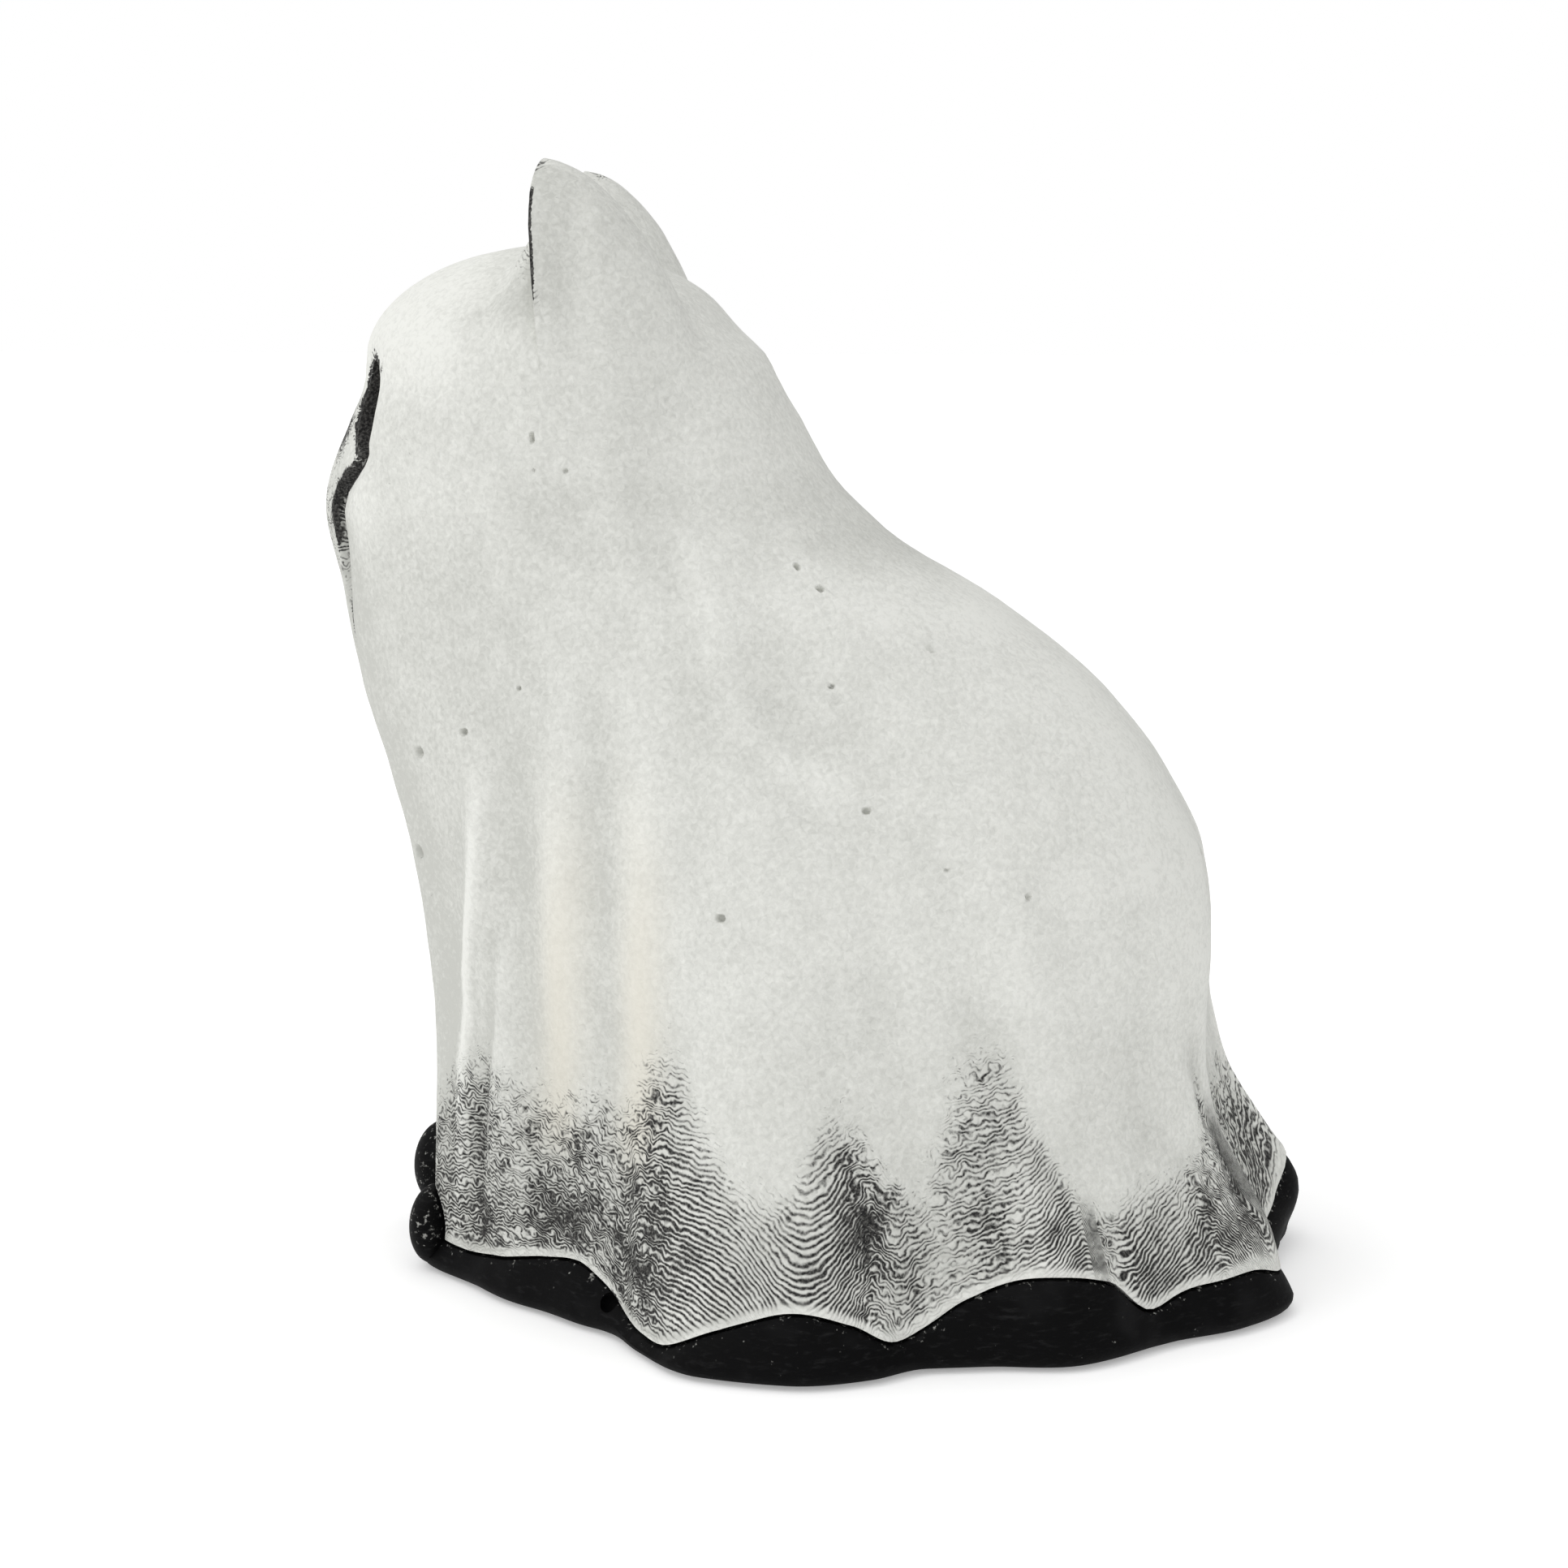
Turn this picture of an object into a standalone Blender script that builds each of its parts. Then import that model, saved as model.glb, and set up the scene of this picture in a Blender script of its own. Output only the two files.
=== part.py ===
"""Seated cat figurine under a draped ghost sheet: white sheet shell, dark cat inside, lobed plinth."""

import math

import bpy
import numpy as np

MM = 0.001

# How finely the lofted pieces are cut.
COLUMNS = 80
PAW_SEGMENTS = 16
PAW_RINGS = 10
EYE_SIDES = 20

# Walls and clearances, in millimetres.
SHEET_WALL = 1.8
BODY_CLEARANCE = 0.5
HEM_GAP = 0.35
SEAT_CLEARANCE = 0.4
PLINTH_PROUD = 0.4
PLINTH_FLARE = 0.24
PLINTH_EDGE = 1.0
PLINTH_CENTRE_TOP = 3.0

# Body sections in millimetres: height, front y, rear y, half width, centre y.
SECTIONS = (
    (0.0, -31.6, 31.6, 25.0, 0.0),
    (5.0, -31.2, 31.2, 24.6, 0.0),
    (10.0, -31.0, 29.2, 23.8, 0.0),
    (15.0, -31.1, 27.4, 22.9, -0.5),
    (20.0, -31.2, 26.9, 22.3, -1.0),
    (26.0, -31.8, 27.3, 22.0, -2.0),
    (32.0, -33.0, 26.7, 21.2, -3.0),
    (38.0, -34.8, 24.0, 19.8, -5.0),
    (44.0, -36.6, 19.5, 18.0, -8.0),
    (50.0, -37.7, 12.3, 16.4, -12.0),
    (56.0, -38.0, 2.7, 15.4, -17.0),
    (60.0, -37.7, -1.2, 15.2, -20.0),
    (64.0, -37.0, -3.4, 15.2, -21.0),
    (68.0, -36.0, -5.9, 14.8, -21.0),
)
FRONT_POWER = 1.9
REAR_POWER = 2.25

# Head dome above the last section.
CROWN_Z = 76.9
CROWN_FRONT_POWER = 2.0
CROWN_REAR_POWER = 1.6

# Lobes of the drape at the hem: direction in degrees from the front, and how far out.
LEFT_LOBES = (
    (0, 0.4),
    (10, 0.2),
    (24, -2.2),
    (38, -3.6),
    (50, -3.4),
    (64, 0.2),
    (76, 3.2),
    (89, 3.5),
    (101, 1.4),
    (110, -1.2),
    (120, -1.8),
    (131, -0.2),
    (141, -0.9),
    (148, -0.9),
    (158, 1.2),
    (167, 2.6),
    (174, 1.2),
    (180, 0.0),
)
RIGHT_LOBES = (
    (0, 0.4),
    (11, 0.4),
    (27, -2.4),
    (42, -4.0),
    (55, -2.8),
    (68, 1.2),
    (80, 2.8),
    (93, 1.4),
    (105, -1.6),
    (117, -0.9),
    (128, 0.9),
    (139, -0.8),
    (145, -0.6),
    (153, 3.6),
    (161, 7.0),
    (169, 2.6),
    (180, 0.2),
)
LOBE_HEIGHT = 13.0
LOBE_KEPT = 0.16

# Height of the wavy hem above the ground: direction in degrees from the front, height.
LEFT_HEM = (
    (0, 4.6),
    (10, 3.8),
    (26, 3.5),
    (41, 2.9),
    (56, 1.9),
    (67, 1.4),
    (78, 3.4),
    (90, 5.0),
    (98, 4.0),
    (105, 2.4),
    (117, 4.8),
    (128, 6.3),
    (138, 5.4),
    (145, 2.8),
    (153, 3.8),
    (161, 4.0),
    (168, 3.0),
    (180, 3.2),
)
RIGHT_HEM = (
    (0, 4.6),
    (12, 4.2),
    (28, 2.6),
    (44, 2.0),
    (60, 1.8),
    (74, 3.8),
    (86, 5.2),
    (98, 3.6),
    (106, 2.2),
    (120, 4.8),
    (132, 5.2),
    (143, 2.6),
    (152, 5.4),
    (161, 7.0),
    (170, 4.4),
    (180, 3.2),
)
HEM_REACH = 24.0

# Hanging folds on the sides: direction at the hem, direction high up, half width, depth.
FOLDS = (
    (11.0, 13.0, 4.5, 0.75),
    (30.0, 34.0, 6.0, 0.70),
    (52.0, 50.0, 6.0, 0.50),
    (-12.0, -14.0, 4.5, 0.75),
    (-32.0, -35.0, 6.0, 0.70),
    (-54.0, -52.0, 6.0, 0.50),
)
FOLD_TOP = 46.0

# Ears, snout, eyes and paws, in millimetres.
LEFT_EAR_ROOT = (11.4, -19.2, 71.5)
RIGHT_EAR_ROOT = (-11.4, -20.8, 71.5)
EAR_LIFT = (1.6, -0.5, 9.5)
EAR_REACH_IN = 7.5
EAR_REACH_OUT = 6.5
EAR_REACH_FRONT = 2.6
LEFT_EAR_REACH_REAR = 11.0
RIGHT_EAR_REACH_REAR = 8.6
EAR_ROUNDNESS = 2.3
EAR_BLEND = 1.25
EAR_FALL = 16.0
SNOUT = (0.0, -37.8, 58.0)
SNOUT_OUT = 1.6
SNOUT_REACH = (4.2, 6.0, 5.0)
EYE = (6.6, -33.0, 65.2)
EYE_SIZE = (5.4, 7.6)
EYE_DEPTH = 12.0
EYE_TURN = 24.0
LEFT_PAW = ((5.0, -31.0, 3.0), (3.2, 1.8, 3.0))
RIGHT_PAW = ((-5.6, -32.8, 4.6), (3.3, 2.4, 3.5))

# Levels of the lofted rings, in millimetres, and the scales of the rings that close the head.
OUTER_HEIGHTS = (0.0, 0.5, 1.6, 3.2, 5.0, 7.0, 9.2, 11.6, 14.2, 17.2, 20.6, 24.2, 28.0, 32.0,
                 36.0, 40.0, 43.6, 47.0, 50.2, 53.2, 56.0, 58.8, 61.4, 63.8, 66.0, 68.0)
OUTER_CAP = (0.97, 0.92, 0.86, 0.79, 0.71, 0.62, 0.52, 0.41, 0.29, 0.16)
INNER_HEIGHTS = (0.4, 6.0, 14.0, 24.0, 34.0, 44.0, 52.0, 58.0, 63.0, 68.0)
INNER_CAP = (0.88, 0.66, 0.36)
BODY_HEIGHTS = (1.2, 6.0, 14.0, 24.0, 34.0, 44.0, 52.0, 58.0, 63.0, 68.0)
SEAT_RIM = 2.8
SEAT_STEP = 7.8


def clear_scene():
    for old in list(bpy.data.objects):
        bpy.data.objects.remove(old, do_unlink=True)


def make_collection(name, helper=False):
    group = bpy.data.collections.new(name)
    bpy.context.scene.collection.children.link(group)
    group.hide_render = helper
    return group


def principled(name, colour, roughness):
    material = bpy.data.materials.new(name)
    material.use_nodes = True
    shader = material.node_tree.nodes["Principled BSDF"]
    shader.inputs["Base Color"].default_value = (*colour, 1.0)
    shader.inputs["Roughness"].default_value = roughness
    return material


def smooth_curve(at, knots, values):
    """A smooth line through the knots, with no overshoot between them."""
    knots = np.asarray(knots, float)
    values = np.asarray(values, float)
    steps = np.diff(knots)
    slopes = np.diff(values) / steps
    tangents = np.zeros(len(knots))
    same_way = slopes[1:] * slopes[:-1] > 0
    weight = steps[1:] + steps[:-1]
    blended = weight * slopes[1:] * slopes[:-1] * 1.5
    spread = steps[1:] * slopes[1:] * 1.5 + steps[:-1] * slopes[:-1] * 1.5
    tangents[1:-1][same_way] = blended[same_way] / spread[same_way]
    place = np.clip(np.searchsorted(knots, at, side="right") - 1, 0, len(steps) - 1)
    u = np.clip((at - knots[place]) / steps[place], 0.0, 1.0)
    rise = u * u * (3 - 2 * u)
    start = u * (1 - u) ** 2
    end = -u * u * (1 - u)
    lifted = values[place] + (values[place + 1] - values[place]) * rise
    return lifted + steps[place] * (start * tangents[place] + end * tangents[place + 1])


def around(degrees, left, right):
    """A value that changes round the figure, given for the left half and the right half."""
    left = np.array(left, float)
    right = np.array(right, float)
    on_left = smooth_curve(np.abs(degrees), left[:, 0], left[:, 1])
    on_right = smooth_curve(np.abs(degrees), right[:, 0], right[:, 1])
    return np.where(degrees >= 0, on_left, on_right)


def directions():
    """Column directions in degrees from the front, positive towards the cat's left."""
    return np.linspace(-180.0, 180.0, COLUMNS, endpoint=False)


def section(height):
    table = np.array(SECTIONS, float)
    return [smooth_curve(height, table[:, 0], table[:, i]) for i in range(1, 5)]


def fold_relief(degrees, height):
    """Soft hanging ridges that fade out towards the shoulders and the hem."""
    relief = np.zeros_like(degrees)
    rise = np.clip(height / FOLD_TOP, 0.0, 1.0)
    fade = np.sin(math.pi * np.clip(height / FOLD_TOP, 0.02, 1.0) ** 0.8) ** 0.8
    for low, high, width, depth in FOLDS:
        offset = (degrees - (low + (high - low) * rise)) / width
        relief += depth * fade * (np.exp(-offset**2) - 0.45 * np.exp(-((offset + 1.9) ** 2)))
    return relief


def lobe_relief(degrees, height):
    fade = LOBE_KEPT + (1 - LOBE_KEPT) * np.exp(-((height / LOBE_HEIGHT) ** 1.3))
    fade = fade * (1 - np.clip((height - 30.0) / 26.0, 0.0, 1.0) ** 2)
    return around(degrees, LEFT_LOBES, RIGHT_LOBES) * fade


def body_ring(level, inset):
    """One ring of points round the figure at a level, moved inwards by the inset."""
    degrees = directions()
    hem = around(degrees, LEFT_HEM, RIGHT_HEM)
    height = level + hem * np.clip(1 - level / HEM_REACH, 0.0, 1.0) ** 2
    front, rear, half_width, centre = section(height)
    angle = np.radians(degrees)
    side = np.abs(np.sin(angle))
    along = np.abs(np.cos(angle))
    reach = np.where(np.cos(angle) > 0, centre - front, rear - centre)
    power = np.where(np.cos(angle) > 0, FRONT_POWER, REAR_POWER)
    radius = ((side / half_width) ** power + (along / reach) ** power) ** (-1 / power)
    radius = radius + lobe_relief(degrees, height) + fold_relief(degrees, height) - inset
    return np.stack(
        [radius * np.sin(angle), centre - radius * np.cos(angle), height], axis=1
    )


def crown_ring(scale, inset):
    """One ring of the head dome, drawn in towards the crown by the scale."""
    base = body_ring(SECTIONS[-1][0], inset)
    centre = np.array([0.0, SECTIONS[-1][4]])
    facing = np.cos(np.radians(directions()))
    power = CROWN_REAR_POWER + (CROWN_FRONT_POWER - CROWN_REAR_POWER) * (1 + facing) / 2
    rise = (1 - scale**power) ** (1 / power)
    flat = centre + (base[:, :2] - centre) * scale
    height = base[:, 2] + (CROWN_Z - inset - base[:, 2]) * rise
    return np.column_stack([flat, height])


def crown_point(inset):
    return np.array([[0.0, SECTIONS[-1][4], CROWN_Z - inset]])


def raise_ear(points, root, reach_rear):
    """The pull on each point towards the tip of one pointed, draped ear."""
    side = math.copysign(1.0, root[0])
    across = (points[:, 0] - root[0]) * side
    back = points[:, 1] - root[1]
    across = across / np.where(across > 0, EAR_REACH_OUT, EAR_REACH_IN)
    back = back / np.where(back > 0, reach_rear, EAR_REACH_FRONT)
    below = np.clip((root[2] - points[:, 2]) / EAR_FALL, 0.0, None)
    distance = np.sqrt(across**2 + back**2 + below**2)
    pull = np.clip(1 - distance**EAR_ROUNDNESS, 0.0, 1.0) ** EAR_BLEND
    return pull[:, None] * np.array([EAR_LIFT[0] * side, EAR_LIFT[1], EAR_LIFT[2]])


def raise_ears(points):
    left = raise_ear(points, LEFT_EAR_ROOT, LEFT_EAR_REACH_REAR)
    right = raise_ear(points, RIGHT_EAR_ROOT, RIGHT_EAR_REACH_REAR)
    return points + left + right


def push_snout(points):
    """A small blunt bulge at the middle of the face."""
    offset = (points - np.array(SNOUT)) / np.array(SNOUT_REACH)
    push = SNOUT_OUT * np.exp(-(offset**2).sum(axis=1))
    moved = points.copy()
    moved[:, 1] -= push
    return moved


def ring_faces(rings, columns):
    faces = []
    for ring in range(rings - 1):
        for column in range(columns):
            after = (column + 1) % columns
            low = ring * columns
            high = low + columns
            faces.append((low + column, low + after, high + after, high + column))
    return faces


def lofted(name, rings, material, group, close_start, close_end):
    """A closed loft of equal rings. A closing value is the centre point of a fan of triangles."""
    columns = len(rings[0])
    points = np.concatenate(rings + [close_start, close_end])
    first = len(rings) * columns
    last_ring = first - columns
    faces = ring_faces(len(rings), columns)
    for column in range(columns):
        after = (column + 1) % columns
        faces.append((first, after, column))
        faces.append((first + 1, last_ring + column, last_ring + after))
    return make_mesh(name, points, faces, material, group)


def make_mesh(name, points, faces, material, group):
    mesh = bpy.data.meshes.new(name)
    mesh.from_pydata((np.asarray(points) * MM).tolist(), [], faces)
    mesh.update()
    body = bpy.data.objects.new(name, mesh)
    group.objects.link(body)
    if material is not None:
        mesh.materials.append(material)
    mesh.shade_smooth()
    return body


def add_boolean(body, cutter, name, operation):
    modifier = body.modifiers.new(name, "BOOLEAN")
    modifier.operation = operation
    modifier.object = cutter
    modifier.solver = "EXACT"
    return modifier


def ellipsoid(name, centre, radii, group):
    """A unit sphere scaled to an ellipsoid."""
    bpy.ops.mesh.primitive_uv_sphere_add(segments=PAW_SEGMENTS, ring_count=PAW_RINGS, radius=1.0)
    ball = bpy.context.object
    ball.name = name
    ball.scale = [value * MM for value in radii]
    ball.location = [value * MM for value in centre]
    ball.data.shade_smooth()
    move_to(ball, group)
    return ball


def move_to(body, group):
    for old in list(body.users_collection):
        old.objects.unlink(body)
    group.objects.link(body)
    if group.hide_render:
        body.hide_render = True
        body.display_type = "WIRE"


def eye_cutter(side, group):
    """A tapering oval plug that opens one eye through the wall of the sheet."""
    bpy.ops.mesh.primitive_cone_add(
        vertices=EYE_SIDES, radius1=0.42, radius2=0.5, depth=1.0, end_fill_type="NGON"
    )
    plug = bpy.context.object
    plug.name = "eye_cutter_left" if side > 0 else "eye_cutter_right"
    plug.scale = (EYE_SIZE[0] * MM, EYE_SIZE[1] * MM, EYE_DEPTH * MM)
    plug.rotation_euler = (math.radians(90), 0.0, math.radians(EYE_TURN) * side)
    plug.location = (EYE[0] * side * MM, EYE[1] * MM, EYE[2] * MM)
    move_to(plug, group)
    return plug


def make_sheet(group, helpers):
    """The white draped sheet: one shell, open at the bottom, with two eye openings."""
    outer = [body_ring(level, 0.0) for level in OUTER_HEIGHTS]
    outer += [crown_ring(scale, 0.0) for scale in OUTER_CAP]
    inner = [body_ring(level, SHEET_WALL) for level in INNER_HEIGHTS]
    inner += [crown_ring(scale, SHEET_WALL) for scale in INNER_CAP]
    outer = [push_snout(raise_ears(ring)) for ring in outer]
    crown = raise_ears(crown_point(0.0))
    rings = list(reversed(inner)) + outer
    white = principled("white_plaster", (0.72, 0.73, 0.70), 0.75)
    sheet = lofted("ghost_sheet", rings, white, group, crown_point(SHEET_WALL), crown)
    for side in (1.0, -1.0):
        plug = eye_cutter(side, helpers)
        add_boolean(sheet, plug, plug.name, "DIFFERENCE")
    for name, paw in (("left_paw_room", LEFT_PAW), ("right_paw_room", RIGHT_PAW)):
        room = [radius + SEAT_CLEARANCE for radius in paw[1]]
        ball = ellipsoid(name, paw[0], room, helpers)
        add_boolean(sheet, ball, name, "DIFFERENCE")
    return sheet


def seat_ring(inset, centre_share, lift):
    """One ring of the wavy seat on top of the plinth, which the cat sits on."""
    base = body_ring(0.0, inset)
    top = around(directions(), LEFT_HEM, RIGHT_HEM) - HEM_GAP
    base[:, 2] = top + (PLINTH_CENTRE_TOP - top) * centre_share + lift
    return base


def make_cat(group):
    """The dark seated cat inside the sheet, seen through the eye openings."""
    inset = SHEET_WALL + BODY_CLEARANCE
    rings = [
        seat_ring(SEAT_STEP, 0.5, SEAT_CLEARANCE),
        seat_ring(SEAT_RIM, 0.0, SEAT_CLEARANCE),
    ]
    rings += [body_ring(level, inset) for level in BODY_HEIGHTS]
    rings += [crown_ring(scale, inset) for scale in INNER_CAP]
    bottom = np.array([[0.0, 0.0, PLINTH_CENTRE_TOP + SEAT_CLEARANCE]])
    black = principled("black_cat", (0.014, 0.013, 0.012), 0.6)
    return lofted("cat_body", rings, black, group, bottom, crown_point(inset))


def plinth_ring(outset, height):
    """One ring of the plinth, outside the foot of the sheet by the outset."""
    base = body_ring(0.0, -outset)
    base[:, 2] = height
    return base


def make_plinth(group, helpers):
    """The black lobed plinth under the hem, with the two front paws."""
    hem = around(directions(), LEFT_HEM, RIGHT_HEM) - HEM_GAP
    flare = PLINTH_PROUD + PLINTH_FLARE * hem
    lip = np.minimum(PLINTH_EDGE, hem * 0.5)
    rings = [
        plinth_ring(flare - PLINTH_EDGE, 0.0),
        plinth_ring(flare - PLINTH_EDGE * 0.3, lip * 0.3),
        plinth_ring(flare, lip),
        plinth_ring(flare * 0.6, lip + (hem - lip) * 0.65),
        plinth_ring(0.0, hem),
        seat_ring(SEAT_RIM, 0.0, 0.0),
        seat_ring(SEAT_STEP, 0.5, 0.0),
    ]
    under = np.array([[0.0, 0.0, 0.0]])
    top = np.array([[0.0, 0.0, PLINTH_CENTRE_TOP]])
    black = principled("black_plinth", (0.012, 0.012, 0.012), 0.5)
    plinth = lofted("plinth", rings, black, group, under, top)
    for name, paw in (("left_paw", LEFT_PAW), ("right_paw", RIGHT_PAW)):
        ball = ellipsoid(name, paw[0], paw[1], helpers)
        add_boolean(plinth, ball, name, "UNION")
    return plinth


def main():
    clear_scene()
    group = make_collection("draped_cat_figurine")
    helpers = make_collection("cutters", helper=True)
    make_sheet(group, helpers)
    make_cat(group)
    make_plinth(group, helpers)
    bpy.context.view_layer.update()


main()
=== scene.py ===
"""Looks for the draped cat figurine: a fine sheet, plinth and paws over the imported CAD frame."""

import math

import bmesh
import bpy
import numpy as np
from mathutils import Euler, Matrix, Vector, noise


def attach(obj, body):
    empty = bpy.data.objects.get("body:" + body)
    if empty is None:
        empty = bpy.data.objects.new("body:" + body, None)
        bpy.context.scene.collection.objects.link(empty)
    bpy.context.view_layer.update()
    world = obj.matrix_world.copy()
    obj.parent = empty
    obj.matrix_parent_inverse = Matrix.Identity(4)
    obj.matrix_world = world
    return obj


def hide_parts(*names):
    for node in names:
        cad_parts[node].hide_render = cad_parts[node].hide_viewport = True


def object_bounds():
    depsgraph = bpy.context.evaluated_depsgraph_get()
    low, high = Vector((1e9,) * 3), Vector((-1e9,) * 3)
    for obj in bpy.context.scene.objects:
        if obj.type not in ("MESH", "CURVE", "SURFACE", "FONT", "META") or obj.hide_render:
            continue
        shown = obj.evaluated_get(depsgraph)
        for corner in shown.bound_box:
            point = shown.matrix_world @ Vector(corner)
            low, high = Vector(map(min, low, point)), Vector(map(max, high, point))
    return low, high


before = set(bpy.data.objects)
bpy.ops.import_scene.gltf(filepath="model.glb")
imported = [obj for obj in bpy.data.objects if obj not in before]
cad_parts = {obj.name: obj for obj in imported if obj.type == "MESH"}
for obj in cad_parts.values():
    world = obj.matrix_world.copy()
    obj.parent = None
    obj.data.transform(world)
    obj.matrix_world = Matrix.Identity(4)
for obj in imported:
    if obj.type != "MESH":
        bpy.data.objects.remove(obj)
cad_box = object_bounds()

MM = 0.001
FAR = 99.0  # stands for "nowhere near", in millimetres

# ---------------------------------------------------------------- form, in millimetres
SHEET_WALL = 1.8
FACE_REAR = -30.0  # the face lies ahead of this
# The body by height: (height, front, rear, half width, centre line).
SECTIONS = (
    (0, -31.6, 31.6, 25, 0),
    (5, -31.2, 31.2, 24.6, 0),
    (10, -31, 29.2, 23.8, 0),
    (15, -31.1, 27.4, 22.9, -0.5),
    (20, -31.2, 26.9, 22.3, -1),
    (26, -31.8, 27.3, 22, -2),
    (32, -33, 26.7, 21.2, -3),
    (38, -34.8, 24, 19.8, -5),
    (44, -36.6, 19.5, 18, -8),
    (50, -37.7, 12.3, 16.4, -12),
    (56, -38, 2.7, 15.4, -17),
    (60, -37.7, -1.2, 15.2, -20),
    (64, -37, -3.4, 15.2, -21),
    (68, -36, -5.9, 14.8, -21),
)
EQUATOR = SECTIONS[-1][0]
CENTRE_Y = SECTIONS[-1][4]
FRONT_POWER = 1.9
REAR_POWER = 2.25
CROWN_Z = 76.9
CROWN_FRONT_POWER = 2.0
CROWN_REAR_POWER = 1.6

# How far the skirt stands out, by direction in degrees from the front: left side, right side.
LOBES = ((
    (0, 0.4), (10, 0.2), (24, -2.2), (38, -3.6), (50, -3.4), (64, 0.2), (76, 3.2), (89, 3.5),
    (101, 1.4), (110, -1.2), (120, -1.8), (131, -0.2), (141, -0.9), (148, -0.9), (158, 1.2),
    (167, 2.6), (174, 1.2), (180, 0),
), (
    (0, 0.4), (11, 0.4), (27, -2.4), (42, -4), (55, -2.8), (68, 1.2), (80, 2.8), (93, 1.4),
    (105, -1.6), (117, -0.9), (128, 0.9), (139, -0.8), (145, -0.6), (153, 3.6), (161, 7),
    (169, 2.6), (180, 0.2),
))
LOBE_HEIGHT = 13.0
LOBE_KEPT = 0.16
# Height of the hem, by direction: left side, right side.
HEM = ((
    (0, 4.2), (10, 3), (18, 2.5), (27, 3.1), (36, 4.1), (44, 4.5), (52, 3.3), (60, 1.8),
    (67, 1.4), (78, 3.4), (90, 5), (98, 4), (105, 2.4), (117, 4.8), (128, 6.3), (138, 5.4),
    (145, 2.8), (153, 3.8), (161, 4), (168, 3), (180, 3.2),
), (
    (0, 4.6), (12, 4.2), (28, 2.6), (44, 2), (60, 1.8), (74, 3.8), (86, 5.2), (98, 3.6),
    (106, 2.2), (120, 4.8), (132, 5.2), (143, 2.6), (152, 5.4), (161, 7), (170, 4.4), (180, 3.2),
))
HEM_REACH = 24.0
HEM_GAP = 0.35
# Soft folds: (direction at the hem, direction at the top, half width in degrees, depth).
FOLDS = (
    (11, 13, 4.5, 0.75),
    (30, 34, 6, 0.7),
    (52, 50, 6, 0.5),
    (-12, -14, 4.5, 0.75),
    (-32, -35, 6, 0.7),
    (-54, -52, 6, 0.5),
)
FOLD_TOP = 46.0

LEFT_EAR_ROOT = (11.4, -19.0, 71.5)
EAR_LIFT = (1.6, -1.3, 8.6)
EAR_REACH_IN = 7.5
EAR_REACH_OUT = 6.5
EAR_REACH_FRONT = 0.65
EAR_SWELL_FRONT = 5.0
EAR_RISE_FALL = 7.5
# Each ear: side, root, reach to the rear, share of the full lift.
EARS = ((1, LEFT_EAR_ROOT, 10.2, 1.0), (-1, (-11.4, -20.4, 71.5), 8.3, 0.96))
EAR_ROUNDNESS = 2.9
EAR_BLEND = 1.25
EAR_FALL = 16.0
EAR_HOLLOW = 1.5
EAR_BOWL_SHARE = 0.55
EAR_BOWL_LEVELS = (72.0, 74.0)
EAR_FOOT = (9.0, -1.9, 2.5)
EAR_FOOT_REACH = (3.0, 1.5)
# The outer front edge of each ear: (height, distance from the middle).
EAR_EDGE = ((72, 15.9), (73.4, 15.8), (76.7, 15.5), (80.6, 14.2), (82.5, 12.8))
SNOUT = (0.0, -37.8, 58.0)
SNOUT_OUT = 1.6
SNOUT_REACH = (4.2, 6.0, 5.0)
EYE = (6.0, -33.2, 65.2)
EYE_SIZE = (4.3, 7.4)
EYE_DEPTH = 12.0
EYE_TURN = 24.0
LEFT_PAW = ((5.0, -31.0, 3.0), (3.2, 1.8, 3.0))
RIGHT_PAW = ((-5.6, -32.8, 4.6), (3.3, 2.4, 3.5))
PAW_CLEARANCE = 0.4
HEM_BUBBLE = ((19.1, -14.45, 2.15), (0.80, 0.80, 0.80))
PLINTH_PROUD = 0.4
PLINTH_FLARE = 0.24
PLINTH_EDGE = 1.0
PLINTH_CENTRE_TOP = 3.0
SEAT_RIM = 2.8
SEAT_STEP = 7.8

# ---------------------------------------------------------------- detail of the visual model
# Columns are closer together over the face and front folds, and at the ears.
COLUMN_STEPS = ((42, 66), (84, 34), (102, 44), (118, 16), (180, 50))
OUTER_RINGS = 112
CAP_RINGS = 40
INNER_LEVELS = (0.4, 6.0, 14.0, 24.0, 34.0, 44.0, 52.0, 58.0, 63.0, 68.0)
INNER_CAP = (0.88, 0.66, 0.36)
INNER_TOP = 69.0
# Share of the full reach, and longest edge kept there in mm, for each round of refining.
REFINE_ROUNDS = ((1.0, 0.50), (0.85, 0.30), (0.70, 0.18))
LINE_REACH = 1.1
EYE_RIM_AHEAD = 1.6
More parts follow.
